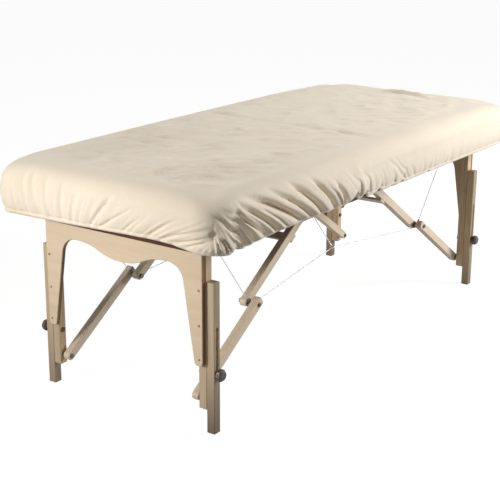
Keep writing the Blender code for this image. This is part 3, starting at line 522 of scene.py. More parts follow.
# Outline of the fitted sheet, with runs round it from the middle of the near end by way of the right side
END_RUN = HALF_WIDTH - SHEET_CORNER + math.pi * SHEET_CORNER / 4
SIDE_RUN = HALF_LENGTH - SHEET_CORNER + math.pi * SHEET_CORNER / 4
HALF_ROUND = 2 * (END_RUN + SIDE_RUN)
ROUND = 2 * HALF_ROUND
NEAR_RIGHT = END_RUN
FAR_RIGHT = HALF_ROUND - END_RUN
FAR_LEFT = HALF_ROUND + END_RUN
NEAR_LEFT = ROUND - END_RUN


def smooth_step(low, high, value):
    """Smooth rise from 0 at low to 1 at high."""
    share = np.clip((value - low) / (high - low), 0.0, 1.0)
    return share * share * (3 - 2 * share)


def outline_at(around):
    """Point and outward direction on the outline, at a run round it."""
    quarter = HALF_ROUND / 2
    run = abs((around + quarter) % HALF_ROUND - quarter)
    straight = HALF_WIDTH - SHEET_CORNER
    bend = math.pi * SHEET_CORNER / 2
    length = HALF_LENGTH - SHEET_CORNER
    angle = min(max((run - straight) / SHEET_CORNER, 0.0), math.pi / 2)
    out = (math.cos(angle), math.sin(angle))
    x = length - max(run - straight - bend, 0.0) + SHEET_CORNER * out[0]
    y = min(run, straight) + SHEET_CORNER * out[1]
    sign_x = 1 if quarter <= around <= 3 * quarter else -1
    sign_y = -1 if around < HALF_ROUND else 1
    return (sign_x * x, sign_y * y), (sign_x * out[0], sign_y * out[1])


def sheet_columns():
    """Skirt columns all the way round: top edge point, outline point, outward direction and run."""
    loop = [(-1, 0), (-1, -1), (1, -1), (1, 1), (-1, 1), (-1, 0)]
    runs = [0.0, NEAR_RIGHT, FAR_RIGHT, FAR_LEFT, NEAR_LEFT, ROUND]
    counts = [TOP_ROWS // 2, TOP_COLUMNS, TOP_ROWS, TOP_COLUMNS, TOP_ROWS // 2]
    columns = []
    for leg, count in enumerate(counts):
        for step in range(count * COLUMN_SPLIT):
            share = step / (count * COLUMN_SPLIT)
            x, y = (a + (b - a) * share for a, b in zip(loop[leg], loop[leg + 1]))
            around = runs[leg] + (runs[leg + 1] - runs[leg]) * share
            columns.append(((x * INNER_X, y * INNER_Y), *outline_at(around), around))
    return columns


# Gathers round the hem: run, slant, depth, width and how far down they start
SLANT, DEPTH, WIDTH, START = 1, 2, 3, 4
GATHERS = (
    (0.0, -0.5, 0.0022, 0.03, 0.36),
    (NEAR_RIGHT - 0.22, -1.5, 0.0035, 0.03, 0.46),
    (NEAR_RIGHT - 0.12, -1.9, 0.0065, 0.026, 0.55),
    (NEAR_RIGHT - 0.04, -0.9, 0.009, 0.017, 0.62),
    (NEAR_RIGHT, 0.0, 0.01, 0.013, 0.62),
    (NEAR_RIGHT + 0.05, 0.6, 0.012, 0.019, 0.5),
    (NEAR_RIGHT + 0.12, 0.95, 0.0085, 0.03, 0.4),
    (NEAR_RIGHT + 0.25, 1.4, 0.008, 0.044, 0.32),
    (NEAR_RIGHT + 0.42, 1.8, 0.008, 0.05, 0.3),
    (NEAR_RIGHT + 0.55, 1.2, 0.0085, 0.046, 0.4),
    (NEAR_RIGHT + 0.72, 0.8, 0.007, 0.044, 0.58),
    (NEAR_RIGHT + 0.95, 0.6, 0.0026, 0.05, 0.72),
    (FAR_RIGHT - 0.15, -0.2, 0.0022, 0.044, 0.74),
    (FAR_RIGHT, 0.0, 0.007, 0.022, 0.6),
    (FAR_RIGHT + 0.15, 0.8, 0.005, 0.032, 0.52),
    (FAR_LEFT - 0.15, -0.8, 0.005, 0.032, 0.52),
    (FAR_LEFT, 0.0, 0.008, 0.022, 0.6),
    (FAR_LEFT + 0.2, 0.9, 0.011, 0.04, 0.3),
    (FAR_LEFT + 0.6, 0.2, 0.006, 0.042, 0.58),
    (NEAR_LEFT - 0.6, -0.2, 0.006, 0.042, 0.58),
    (NEAR_LEFT - 0.2, -0.9, 0.009, 0.04, 0.34),
    (NEAR_LEFT, 0.0, 0.006, 0.022, 0.55),
    (NEAR_LEFT + 0.12, 0.2, 0.0028, 0.028, 0.3),
    (ROUND, -0.5, 0.0022, 0.03, 0.36),
)

# Three layers of gathers: seed, shares of the width and the depth above, and how much later they start
FOLD_LAYERS = (
    (41, 1.0, 1.0, 0.0),
    (58, 0.55, 0.32, 0.12),
    (73, 0.42, 0.14, -0.25),
)
# How far single folds stray from the table, and the limits of their starts
WIDTH_SPREAD = (0.5, 1.7)
DEPTH_SPREAD = (0.25, 1.3)
START_SPREAD = (-0.16, 0.14)
START_LIMITS = (0.02, 0.84)
LAST_FOLD = 0.02
# Form of a fold: skew, roundness, how far it takes to grow, its level and its lean
FOLD_SKEW = 1.45
FOLD_ROUNDNESS = 0.6
FOLD_GROWTH = 0.4
FOLD_LEVEL = 0.45
FOLD_LEAN = 0.65
FOLD_ROUNDS = 24

# Single creases: run from the middle of the end or from its right corner, slant, depth, width and start
END_CREASES = (
    (-0.25, 0.2, 0.004, 0.009, 0.16),
    (-0.205, 0.3, 0.0046, 0.01, 0.2),
    (-0.165, 0.2, 0.0038, 0.008, 0.22),
    (-0.123, 0.0, 0.0044, 0.009, 0.26),
    (-0.09, -0.2, 0.0032, 0.007, 0.36),
    (-0.026, -0.85, 0.0065, 0.006, 0.36),
    (0.001, -1.75, 0.007, 0.006, 0.52),
    (0.085, -1.3, 0.0055, 0.005, 0.6),
    (0.168, -1.5, 0.0105, 0.006, 0.54),
    (0.21, -2.2, 0.012, 0.007, 0.56),
    (0.252, -2.4, 0.012, 0.006, 0.6),
    (0.29, -2.0, 0.0115, 0.006, 0.64),
)
SIDE_CREASES = (
    (0.118, 1.05, 0.017, 0.0085, 0.34),
    (0.155, 1.15, 0.018, 0.0085, 0.34),
    (0.213, 1.5, 0.018, 0.009, 0.3),
    (0.261, 1.45, 0.02, 0.009, 0.28),
    (0.39, 2.0, 0.024, 0.018, 0.22),
    (0.43, 1.65, 0.016, 0.007, 0.25),
    (0.485, 1.35, 0.021, 0.012, 0.25),
    (0.549, 1.15, 0.019, 0.01, 0.32),
    (0.595, 0.75, 0.018, 0.008, 0.5),
    (0.967, 1.45, 0.003, 0.007, 0.42),
    (0.992, 1.35, 0.0026, 0.006, 0.46),
    (1.029, 1.05, 0.0034, 0.006, 0.66),
    (1.11, -0.1, 0.004, 0.006, 0.72),
    (1.227, 0.1, 0.003, 0.006, 0.72),
)
CREASES = END_CREASES + tuple((NEAR_RIGHT + run, *form) for run, *form in SIDE_CREASES)
CREASE_SHARPNESS = 1.6
CREASE_GROWTH = 0.3

# The hem: run, height and how far it is drawn in
HEM_LINE = (
    (0.0, 0.5495, 0.0045),
    (0.1, 0.553, 0.0045),
    (0.19, 0.555, 0.0045),
    (0.25, 0.553, 0.005),
    (0.3, 0.546, 0.006),
    (NEAR_RIGHT - 0.01, 0.538, 0.007),
    (NEAR_RIGHT + 0.04, 0.534, 0.007),
    (NEAR_RIGHT + 0.11, 0.538, 0.01),
    (NEAR_RIGHT + 0.2, 0.543, 0.0125),
    (NEAR_RIGHT + 0.31, 0.546, 0.0125),
    (1.2, 0.542, 0.0125),
    (HALF_ROUND, 0.541, 0.0095),
    (ROUND - 0.3, 0.541, 0.0095),
    (ROUND - 0.1, 0.5465, 0.0055),
    (ROUND, 0.5495, 0.0045),
)

# Places where the hem rides up and bares the vinyl: run past the near right corner, lift and reach
HEM_LIFTS = (
    (0.076, 0.011, 0.014),
    (0.655, 0.019, 0.022),
    (0.718, 0.013, 0.014),
    (0.803, 0.01, 0.011),
    (0.885, 0.005, 0.012),
    (0.945, 0.007, 0.01),
    (1.116, 0.004, 0.008),
)

# Loose cloth on the right side: size, where it starts and ends past the near corner, and how far down
FULLNESS = (0.014, (0.05, 0.12), (0.8, 0.55), (0.3, 0.75))
# Bunched cloth at the near right corner: size, run past it, width, share of the way down, and reach
PUFF = (0.013, 0.014, 0.034, 0.9, 0.1)
CLEFT = (0.01, 0.004, 0.012, 0.7, 0.05)
# A slanted groove in it: size, run past the corner, slant, level, width and where it fades in
SWIRL = (0.005, 0.03, 0.35, 0.9, 0.006, (0.76, 0.88))


def gather(column, around):
    """One column of the table of gathers, read at a run round the outline."""
    table = list(zip(*GATHERS))
    return np.interp(around, table[0], table[column])


def fold_lines(seed, narrow, deep, late):
    """Seeded gathers round the hem: where each one ends, how deep it is and how far down it starts."""
    rng = random.Random(seed)
    edges = [0.0]
    depths = []
    starts = []
    while edges[-1] < ROUND - LAST_FOLD:
        here = edges[-1]
        edges.append(here + narrow * float(gather(WIDTH, here)) * rng.uniform(*WIDTH_SPREAD))
        depths.append(deep * float(gather(DEPTH, here)) * rng.uniform(*DEPTH_SPREAD))
        start = float(gather(START, here)) + late + rng.uniform(*START_SPREAD)
        starts.append(min(max(start, START_LIMITS[0]), START_LIMITS[1]))
    edges[-1] = ROUND
    return np.array(edges), np.array(depths), np.array(starts)


def hem_places(around, rise):
    """Where the straight fold through each point, a rise above the hem, ends on the hem."""
    places = around.copy()
    for _ in range(FOLD_ROUNDS):
        places = 0.5 * places + 0.5 * (around + gather(SLANT, places % ROUND) * rise)
    return places % ROUND


def hem_line(around):
    """Height of the hem, and how far it is drawn in, at runs round the outline."""
    runs, heights, drawn = zip(*HEM_LINE)
    hem = np.interp(around, runs, heights)
    for run, lift, reach in HEM_LIFTS:
        hem = hem + lift * np.exp(-(((around - NEAR_RIGHT - run) / reach) ** 2))
    return hem, np.interp(around, runs, drawn)


def fold_push(layer, hem_place, down):
    """Outward push and sideways slide of one layer of gathers."""
    edges, depths, starts = layer
    fold = np.clip(np.searchsorted(edges, hem_place, side="right") - 1, 0, len(depths) - 1)
    within = (hem_place - edges[fold]) / (edges[fold + 1] - edges[fold])
    skewed = 1 - (1 - within) ** FOLD_SKEW
    ridge = np.sin(np.pi * skewed) ** FOLD_ROUNDNESS
    grow = smooth_step(starts[fold], starts[fold] + FOLD_GROWTH, down)
    size = depths[fold] * grow
    return size * (ridge - FOLD_LEVEL), -FOLD_LEAN * size * ridge


def crease_push(around, rise, down):
    """Inward push of the single creases, each one straight from its start to the hem."""
    push = 0 * around
    for run, slant, depth, width, start in CREASES:
        aside = (around + slant * rise - run + HALF_ROUND) % ROUND - HALF_ROUND
        grow = smooth_step(start, start + CREASE_GROWTH, down)
        push = push - depth * np.exp(-np.abs(aside / width) ** CREASE_SHARPNESS) * grow
    return push


def fullness(around, down):
    """Outward swell of the loose cloth along the near part of the right side."""
    size, start, end, span = FULLNESS
    past = around - NEAR_RIGHT
    band = smooth_step(*start, past) * smooth_step(*end, past)
    return size * band * smooth_step(*span, down)


def mound(aside, down, size, place, width, level, reach):
    """Soft mound on the skirt, at a place along it and a level down it."""
    return size * np.exp(-(((aside - place) / width) ** 2) - ((down - level) / reach) ** 2)


def corner_bunch(around, down):
    """Cloth bunched into a soft puff under the near right corner, with a cleft above it."""
    aside = around - NEAR_RIGHT
    size, place, slant, level, width, span = SWIRL
    across = (aside - place + slant * (down - level)) / width
    swirl = size * np.exp(-(across ** 2)) * smooth_step(*span, down)
    return mound(aside, down, *PUFF) - mound(aside, down, *CLEFT) - swirl


def corner_sag(x, y):
    """How far the padded corners, and a little the whole far end, sink below the rest of the top."""
    to_end = np.clip(1 - (HALF_LENGTH - np.abs(x)) / SAG_REACH, 0.0, 1.0)
    to_side = np.clip(1 - (HALF_WIDTH - np.abs(y)) / SAG_REACH, 0.0, 1.0)
    return CORNER_SAG * smooth_step(0.0, 1.0, to_end * to_side) + FAR_SAG * smooth_step(*FAR_SAG_SPAN, x)


def rim_level(x, y):
    """Height of the top before its wrinkles: raised along the left edge, lower at the corners."""
    fade = 1 - EDGE_LIFT_FADE * (x / HALF_LENGTH) ** 2
    lift = EDGE_LIFT * smooth_step(*EDGE_LIFT_SPAN, y) * fade
    return SHEET_TOP + lift - corner_sag(x, y)


def pad_gap(facing):
    """Gap between the sheet's outline and the pad's, from the rounded corners of both."""
    ends = PAD_END - PAD_CORNER - HALF_LENGTH + SHEET_CORNER
    sides = PAD_HALF_WIDTH - PAD_CORNER - HALF_WIDTH + SHEET_CORNER
    return SHEET_CORNER - PAD_CORNER - ends * facing[:, 0] - sides * facing[:, 1]


# Clearance of the sheet over the pads, and the steps that reach it
PAD_CLEARANCE = 0.0012
CLEARING_ROUNDS = 24
CLEARING_STEP = 0.0006


def pad_shortfall(flat, level):
    """How far points at each level lie inside the pads' rounded edges, plus the clearance."""
    fall = np.clip((PAD_TOP - level) / PAD_EDGE, 0.0, 1.0)
    inset = PAD_EDGE * (1 - np.sqrt(1 - (1 - fall) ** 2))
    corner = np.maximum(PAD_CORNER - inset, LEAST_CORNER)
    past_x = np.abs(flat[:, 0]) - (PAD_END - inset - corner)
    past_y = np.abs(flat[:, 1]) - (PAD_HALF_WIDTH - inset - corner)
    beyond = np.hypot(np.maximum(past_x, 0.0), np.maximum(past_y, 0.0))
    outside = beyond + np.minimum(np.maximum(past_x, past_y), 0.0)
    return np.where(level < PAD_TOP + PAD_CLEARANCE, PAD_CLEARANCE + corner - outside, 0.0)


def run_noise(around, scale, row, layer):
    """Noise along the outline."""
    return np.array([noise.noise(Vector((a * scale, row, layer))) for a in around])


# Wandering of the folds: scale, row and layer of the noise, and size
WANDER = (11.0, 0.4, 2.2)
WANDER_SIZE = 0.008
FLUTTER = (37.0, 7.4, 1.2)
FLUTTER_SIZE = 0.0025
# Wall of the skirt, roll of the hem, pinch of the elastic above it, and tuck under the pad
WALL_BILLOW = 0.004
DRAWN_POWER = 2.5
HEM_ROLL = 0.0022
ROLL_START = 0.9
HEM_PINCH = 0.0014
PINCH_PLACE = 0.885
PINCH_REACH = 0.03
HEM_TUCK = 0.014
HEM_ROOM = 0.001
HEM_DROP = 0.0045
TUCK_SPAN = (0.004, -0.004)
# How much the elastic and the tuck flatten the folds, and how far the folds lift the hem
HELD_SHARE = 0.72
HELD_SPAN = (0.945, 0.975)
UNDER_SHARE = 0.85
HEM_WAVE = 0.12
HEM_WAVE_SPAN = (0.93, 1.0)


class Skirt:
    """The sheet's skirt, with one value of everything for each column round the outline."""

    def __init__(self, columns):
        top_edge, self.outline, out, around = (np.array(values) for values in zip(*columns))
        self.top_edge = top_edge
        self.out = out
        self.around = around
        self.along = np.stack([-out[:, 1], out[:, 0]], 1)
        self.layers = [fold_lines(*layer) for layer in FOLD_LAYERS]
        hem, self.drawn = hem_line(around)
        self.gap = pad_gap(np.abs(out))
        room = self.gap - self.drawn - HEM_ROOM
        self.tuck = room + (HEM_TUCK - room) * smooth_step(*TUCK_SPAN, hem - PAD_BOTTOM)
        self.wander = run_noise(around, *WANDER)
        self.flutter = run_noise(around, *FLUTTER)
        self.rim = rim_level(*top_edge.T)
        self.sag = corner_sag(*top_edge.T)
        self.wall = WALL_TOP - hem
        self.whole = SHOULDER_LENGTH + self.wall

    def folds(self, depth, under):
        """Push outwards, slide sideways and lift of the folds, a depth down and a share under the pad."""
        down = depth / self.whole
        rise = self.whole - depth
        curve = WANDER_SIZE * self.wander * (1 - down) + FLUTTER_SIZE * self.flutter
        ends = (hem_places(self.around, rise) + curve) % ROUND
        moves = [fold_push(layer, ends, down) for layer in self.layers]
        gathered = sum(push for push, _ in moves)
        slid = sum(slide for _, slide in moves)
        loose = crease_push(self.around, rise, down) + fullness(self.around, down)
        loose = loose + corner_bunch(self.around, down)
        shrink = (1 - UNDER_SHARE * under) * (1 - HELD_SHARE * smooth_step(*HELD_SPAN, down))
        lift = HEM_WAVE * gathered * smooth_step(*HEM_WAVE_SPAN, down)
        return (gathered + loose) * shrink, slid * shrink, lift

    def moved(self, base, push, slide):
        """Points pushed outwards and slid along the outline."""
        return base + self.out * push[:, None] + self.along * slide[:, None]

    def shoulder_row(self, row):
        """Points of one row of the rounded shoulder, kept clear of the pads."""
        angle = 0.5 * math.pi * row / SHOULDER_ROWS
        sideways = math.sin(angle)
        upwards = math.cos(angle)
        base = self.top_edge + (self.outline - self.top_edge) * sideways
        height = self.rim - (self.rim - WALL_TOP) * (1 - upwards)
        push, slide, lift = self.folds(SHOULDER_LENGTH * row / SHOULDER_ROWS, 0.0)
        for _ in range(CLEARING_ROUNDS):
            flat = self.moved(base, push * sideways, slide)
            level = height + push * upwards + self.sag * upwards
            push = push + np.clip(pad_shortfall(flat, level), 0.0, CLEARING_STEP)
        flat = self.moved(base, push * sideways, slide)
        return np.column_stack([flat, height + push * upwards + lift])

    def wall_row(self, row):
        """Points of one row of the hanging wall or, below it, of the tucked hem."""
        share = min(row / WALL_ROWS, 1.0)
        under = max(row - WALL_ROWS, 0) / HEM_ROWS
        tucked = math.sin(0.5 * math.pi * under)
        swell = WALL_BILLOW * math.sin(math.pi * share) - self.drawn * share ** DRAWN_POWER
        rolled = max(share - ROLL_START, 0.0) / (1 - ROLL_START)
        roll = HEM_ROLL * math.sin(math.pi * rolled * 0.5) * (1 - under)
        roll -= HEM_PINCH * math.exp(-(((share - PINCH_PLACE) / PINCH_REACH) ** 2))
        base = self.outline + self.out * (swell + roll - self.tuck * tucked)[:, None]
        height = WALL_TOP - self.wall * share - HEM_DROP * tucked
        push, slide, lift = self.folds(SHOULDER_LENGTH + self.wall * share, under)
        push = np.maximum(push, PAD_CLEARANCE - self.gap - swell - roll)
        return np.column_stack([self.moved(base, push, slide), height + lift])

    def rows(self):
        """All rows, from just below the top edge to the tucked hem."""
        shoulder = [self.shoulder_row(row) for row in range(1, SHOULDER_ROWS + 1)]
        return shoulder + [self.wall_row(row) for row in range(1, WALL_ROWS + HEM_ROWS + 1)]


# Fold pinched up across the far end of the top: place, slant, where it starts and ends, height and width
TOP_FOLD = (0.774, 0.33, (-0.16, -0.08), (0.12, 0.05), 0.0125, 0.013)
# Dip over the seam, and the run over which all wrinkles of the top fade at its edge
SEAM_DIP = 0.0042
SEAM_REACH = 0.018
TOP_FADE = 0.05
# Wrinkles of the top: height, scales of x and y along and across, bend, layer, and if they fade far off
WRINKLES = (
    (0.003, (5.0, 0.0), (0.0, 7.0), 0.0, 1.7, False),
    (0.0072, (25.0, 4.0), (0.0, 6.5), 1.0, 3.3, True),
    (0.0046, (11.0, -9.0), (4.0, 12.0), 1.0, 4.2, False),
    (0.0021, (30.0, -8.0), (6.0, 30.0), 0.0, 8.1, False),
)
BEND_SIZE = 0.9
# Share of a wrinkle left at the far end, where it fades, and the share left below the top
FAR_SHARE = 0.45
FAR_FADE = (0.25, -0.35)
SETTLED = 0.35
# Sharp ripples in patches: height, direction, scales along and across it, width, and share by patch
RIPPLE_HEIGHT = 0.009
RIPPLE_DIRECTION = (0.81, 0.58)
RIPPLE_SCALES = (22.0, 7.0)
RIPPLE_WIDTH = 0.2
PATCH_MIDDLE = 0.5
PATCH_SIZE = 0.9
PATCH_LEAST = 0.15
RIPPLE_LAYER = 5.1
# Noise of the patches and of the bend: layer, and scales of x and y
PATCH_NOISE = (9.4, (4.0, 5.0))
BEND_NOISE = (0.5, (3.0, 4.0))


def soft_noise(x, y, layer, scales=(1.0, 1.0)):
    """Smooth noise at a point of one layer."""
    return noise.noise(Vector((x * scales[0], y * scales[1], layer)))


def pinched_fold(x, y):
    """Height of the fold pinched up across the far end of the top."""
    place, slant, start, end, height, width = TOP_FOLD
    length = float(smooth_step(*start, y) * smooth_step(*end, y))
    return height * length * math.exp(-(((x - (place + slant * y)) / width) ** 2))


def ripples(x, y, bend):
    """Height of the sharp ripples that lie in patches."""
    cosine, sine = RIPPLE_DIRECTION
    along = (cosine * x + sine * y) * RIPPLE_SCALES[0] + bend
    across = (sine * x - cosine * y) * RIPPLE_SCALES[1]
    patch = PATCH_MIDDLE + PATCH_SIZE * soft_noise(x, y, *PATCH_NOISE)
    ridge = max(1.0 - abs(soft_noise(along, across, RIPPLE_LAYER)) / RIPPLE_WIDTH, 0.0)
    return RIPPLE_HEIGHT * max(patch, PATCH_LEAST) * ridge


def top_level(x, y):
    """Height of the top over its rim: a slight crown, a faint dip over the seam and soft wrinkles."""
    crown = SHEET_CROWN * (1 - (x / HALF_LENGTH) ** 2) * (1 - (y / HALF_WIDTH) ** 2)
    seam = -SEAM_DIP * math.exp(-((x / SEAM_REACH) ** 2))
    bend = BEND_SIZE * soft_noise(x, y, *BEND_NOISE)
    near_share = FAR_SHARE + (1 - FAR_SHARE) * float(smooth_step(*FAR_FADE, x))
    wrinkle = 0.0
    for height, first, second, bent, layer, fades in WRINKLES:
        place = first[0] * x + first[1] * y + bent * bend
        share = near_share if fades else 1.0
        wrinkle += height * share * soft_noise(place, second[0] * x + second[1] * y, layer)
    wrinkle += near_share * ripples(x, y, bend)
    return crown + seam + pinched_fold(x, y) + (wrinkle if wrinkle > 0 else SETTLED * wrinkle)


def sheet_top():
    """Points and faces of the sheet's top."""
    points = []
    for i in range(TOP_COLUMNS + 1):
        for j in range(TOP_ROWS + 1):
            x = INNER_X * (2 * i / TOP_COLUMNS - 1)
            y = INNER_Y * (2 * j / TOP_ROWS - 1)
            fade = float(smooth_step(0.0, TOP_FADE, min(INNER_X - abs(x), INNER_Y - abs(y))))
            points.append((x, y, float(rim_level(x, y)) + fade * top_level(x, y)))
    across = TOP_ROWS + 1
    corners = [i * across + j for i in range(TOP_COLUMNS) for j in range(TOP_ROWS)]
    return points, [(a, a + across, a + across + 1, a + 1) for a in corners]


def top_boundary():
    """Numbers of the points round the sheet's top, in the order of the skirt's columns."""
    across = TOP_ROWS + 1
    middle = TOP_ROWS // 2
    boundary = list(range(middle, 0, -1))
    boundary += [i * across for i in range(TOP_COLUMNS)]
    boundary += [TOP_COLUMNS * across + j for j in range(TOP_ROWS)]
    boundary += [i * across + TOP_ROWS for i in range(TOP_COLUMNS, 0, -1)]
    boundary += list(range(TOP_ROWS, middle, -1))
    return boundary


def make_sheet():
    """One fitted sheet over both halves: flat top, rounded shoulder, gathered skirt and tucked hem."""
    points, faces = sheet_top()
    columns = sheet_columns()
    count = len(columns)
    rows = Skirt(columns).rows()
    start = len(points)
    for row in rows:
        points.extend(row)
    boundary = top_boundary()
    for index, corner in enumerate(boundary):
        after = boundary[(index + 1) % len(boundary)]
        first = index * COLUMN_SPLIT
        below = [start + (first + step) % count for step in range(COLUMN_SPLIT + 1)]
        faces.append((corner, *below, after))
    for face in ring_faces(len(rows), count):
        a, b, c, d = (start + v for v in face)
        faces.append((a, d, c, b))
    sheet = mesh_object("fitted_sheet", points, faces, COTTON)
    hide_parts("near_sheet", "far_sheet")
    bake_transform(sheet)


# Pads
def pad_outline(end, inset):
    """Rounded outline of one half of the top, drawn in by inset, all the way round."""
    low = PAD_SEAM + inset
    high = PAD_END - inset
    side = PAD_HALF_WIDTH - inset
    outer = max(PAD_CORNER - inset, LEAST_CORNER)
    seam = max(PAD_SEAM_CORNER - inset, LEAST_CORNER)
    corners = (
        (high - outer, -side + outer, outer, -0.5),
        (high - outer, side - outer, outer, 0.0),
        (low + seam, side - seam, seam, 0.5),
        (low + seam, -side + seam, seam, 1.0),
    )
    points = []
    for x, y, radius, turn in corners:
        for step in range(PAD_CORNER_STEPS + 1):
            angle = math.pi * (turn + 0.5 * step / PAD_CORNER_STEPS)
            points.append((end * (x + radius * math.cos(angle)), y + radius * math.sin(angle)))
    return points


def pad_profile():
    """Inset and height of each ring of a pad, from the middle of its underside to that of its top."""
    profile = [(PAD_MIDDLE, PAD_FOAM), (VINYL_THICKNESS, PAD_FOAM)]
    profile += [(VINYL_THICKNESS, PAD_BOTTOM), (PAD_LIP, PAD_BOTTOM)]
    profile += [(inset, PAD_BOTTOM - VINYL_THICKNESS) for inset in (PAD_LIP, VINYL_ROUND)]
    wall = (PAD_BOTTOM + VINYL_TURN, *PAD_WALL_HEIGHTS, PAD_TOP - PAD_EDGE)
    profile += [(0.0, height) for height in wall]
    for step in range(1, PAD_EDGE_STEPS + 1):
        angle = 0.5 * math.pi * step / PAD_EDGE_STEPS
        height = PAD_TOP - PAD_CROWN - (PAD_EDGE - PAD_CROWN) * (1 - math.sin(angle))
        profile.append((PAD_EDGE * (1 - math.cos(angle)), height))
    return profile + [(inset, PAD_TOP - drop) for inset, drop in PAD_CROWN_RINGS]


def make_pad(end_name, end):
    """Foam in its vinyl cover: crowned top, rounded edges, walls over the rails and a lip under them."""
    profile = pad_profile()
    points = []
    for inset, height in profile:
        share = max(height - PAD_TOP + PAD_EDGE, 0.0) / PAD_EDGE
        for x, y in pad_outline(end, inset):
            points.append((x, y, height - share * float(corner_sag(x, y))))
    faces = capped_faces(len(profile), len(points) // len(profile))
    if end < 0:
        faces = [tuple(reversed(face)) for face in faces]
    pad = mesh_object(f"{end_name}_pad", points, faces, BURGUNDY)
    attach(pad, f"{end_name}_half")
    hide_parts(f"{end_name}_foam", f"{end_name}_upholstery")


# Brace cables and small fasteners
def fitting(name, centre, axis, profile, material, body, sides=ROUND_SIDES):
    """Turned steel piece that rides on one body."""
    piece = lathe(name, centre, axis, profile, material, sides)
    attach(piece, body)


def stay(name, start, end):
    """Taut cable between two points, with its placement applied to its mesh."""
    piece = cable(name, start, end)
    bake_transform(piece)
    return piece


def make_end_stays(end_name, end, side_name, side, tie):
    """Stays of one end on one side: leg beam to knuckle, and knuckle to the tie."""
    leg = f"{end_name}_{side_name}"
    knuckle = Vector((end * KNUCKLE[0], side * CABLE_Y, KNUCKLE[2] - CABLE_BEND))
    anchor = Vector((end * ANCHOR[0], side * CABLE_Y, ANCHOR[1]))
    leg_stay = stay(f"{leg}_leg_stay", anchor, knuckle)
    crimp = lathe(f"{leg}_crimp", knuckle, anchor - knuckle, CRIMP, DARK_STEEL)
    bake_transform(crimp)
    if end < 0:
        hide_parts(f"brace_cable_{side_name}")
        stay(f"{leg}_long_stay", tie, knuckle)
    else:
        middle = tie.lerp(knuckle, SEAM_SHARE)
        stay(f"{leg}_inner_stay", tie, middle)
        stay(f"{leg}_outer_stay", middle, knuckle)


def make_cables():
    """Steel stays on both sides, the hanger above their tie, and the fittings at their ends."""
    for side_name, side in SIDES:
        mirror = Vector((1, side, 1))
        tie = Vector(CABLE_TIE) * mirror
        hook = Vector(HOOK) * mirror
        for end_name, end in ENDS:
            make_end_stays(end_name, end, side_name, side, tie)
        hanger = cable(f"{side_name}_hanger", hook, tie)
        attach(hanger, "near_half")
        fitting(f"{side_name}_tie", tie, (0, 1, 0), FERRULE, STEEL, "near_half")
        fitting(f"{side_name}_hook", hook, (1, 0, 0), HOOK_PLATE, STEEL, "near_half")
        for end_name, end in ENDS:
            anchor = (end * ANCHOR[0], side * CABLE_Y, ANCHOR[1])
            name = f"{end_name}_{side_name}_anchor"
            fitting(name, anchor, (end, 0, 0), STUD, STEEL, f"{end_name}_half")


def make_screws():
    """Round-headed screws that hold the end panels to the posts."""
    for end_name, end in ENDS:
        for side_name, side in SIDES:
            for index, height in enumerate(SCREW_HEIGHTS):
                name = f"{end_name}_{side_name}_screw_{index + 1}"
                centre = (end * PANEL_FACE, side * SCREW_Y, height)
                fitting(name, centre, (end, 0, 0), SCREW_HEAD, BROWN_STEEL, f"{end_name}_leg")


def make_bolt_heads():
    """Hexagon heads with washers on the lower struts: outside at the knuckle, inside at the foot."""
    for end_name, end in ENDS:
        for side_name, side in SIDES:
            inner, outer = (side * face for face in STRUT_FACES)
            places = (
                ("knuckle", (end * KNUCKLE[0], outer, KNUCKLE[2]), side, f"{end_name}_lower_brace"),
                ("foot", (end * FOOT_BOLT[0], inner, FOOT_BOLT[1]), -side, f"{end_name}_leg"),
            )
            for name, centre, facing, body in places:
                axis = (0, facing, 0)
                bolt = f"{end_name}_{side_name}_{name}"
                fitting(f"{bolt}_washer", centre, axis, WASHER, DARK_STEEL, body)
                fitting(f"{bolt}_head", centre, axis, BOLT_HEAD, DARK_STEEL, body, HEXAGON_SIDES)


# Floor, background and light
FLOOR_REACH = 14.0
FLOOR_LIT = (0.38, 0.37, 0.355, 1.0)
FLOOR_SHADE = (0.18, 0.18, 0.18, 1.0)
FLOOR_GLOW = 0.92
WORLD_LIT = (1.0, 0.985, 0.96, 1.0)
WORLD_STRENGTH = 0.24
WHITE = (1.0, 1.0, 1.0, 1.0)
# Lamps: place, target, size, power, colour and spread in degrees
LAMPS = {
    "window_near": ((-2.85, 0.9, 1.05), (-0.89, 0.0, 0.62), 0.7, 5.8, (1.0, 0.975, 0.945), 58.0),
    "window_far": ((2.1, -2.6, 1.6), (0.4, -0.3, 0.5), 1.2, 101.0, (0.98, 0.99, 1.0), 180.0),
    "ceiling": ((0.8, -0.1, 3.0), (0.5, 0.0, 0.68), 1.8, 18.5, (1.0, 0.97, 0.93), 180.0),
}


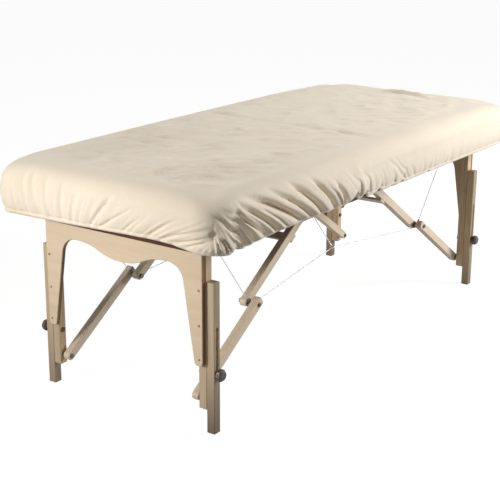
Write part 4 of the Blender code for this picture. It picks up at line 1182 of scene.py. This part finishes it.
def white_to_camera(tree, lit, white, output):
    """Show the white shader to camera, glossy and transmitted rays, and the lit one to all others."""
    path = tree.nodes.new("ShaderNodeLightPath")
    seen = path.outputs["Is Camera Ray"]
    for ray in ("Is Glossy Ray", "Is Transmission Ray"):
        seen = add_node(tree, "Math", 0, {0: seen, 1: path.outputs[ray]}, operation="MAXIMUM")
    shown = add_node(tree, "MixShader", 0, {0: seen, 1: lit, 2: white})
    tree.links.new(shown, tree.nodes.new(output).inputs["Surface"])


def make_floor():
    """Plain pale floor: white to the camera, with the object's soft shadow on it."""
    material = bpy.data.materials.new("floor")
    material.use_nodes = True
    tree = material.node_tree
    tree.nodes.clear()
    lit = add_node(tree, "BsdfDiffuse", 0, {"Color": FLOOR_LIT})
    shade = add_node(tree, "BsdfDiffuse", 0, {"Color": FLOOR_SHADE})
    glow = add_node(tree, "Emission", 0, {"Color": WHITE, "Strength": FLOOR_GLOW})
    white = add_node(tree, "AddShader", 0, {0: shade, 1: glow})
    white_to_camera(tree, lit, white, "ShaderNodeOutputMaterial")
    corners = [(FLOOR_REACH * x, FLOOR_REACH * y, 0.0) for x, y in ((-1, -1), (1, -1), (1, 1), (-1, 1))]
    floor = mesh_object("floor", corners, [(0, 1, 2, 3)], material, False)


def make_world():
    """Soft light from all round, with plain white behind the object."""
    world = bpy.data.worlds.new("studio")
    world.use_nodes = True
    tree = world.node_tree
    tree.nodes.clear()
    lit = add_node(tree, "Background", 0, {"Color": WORLD_LIT, "Strength": WORLD_STRENGTH})
    white = add_node(tree, "Background", 0, {"Color": WHITE, "Strength": 1.0})
    white_to_camera(tree, lit, white, "ShaderNodeOutputWorld")
    scene.world = world


def area_light(name, place, target, size, power, colour, spread):
    """Square lamp at a place, turned to its target."""
    data = bpy.data.lights.new(name, "AREA")
    data.shape = "SQUARE"
    data.size = size
    data.spread = math.radians(spread)
    data.energy = power
    data.color = colour
    light = bpy.data.objects.new(name, data)
    light.location = place
    light.rotation_euler = (Vector(target) - Vector(place)).to_track_quat("-Z", "Y").to_euler()
    scene.collection.objects.link(light)


scene.view_settings.view_transform = "Standard"
make_camera()
dress_nodes()
make_sheet()
for pad_name, pad_end in ENDS:
    make_pad(pad_name, pad_end)
make_cables()
make_screws()
make_bolt_heads()
make_floor()
make_world()
for lamp_name, lamp in LAMPS.items():
    area_light(lamp_name, *lamp)
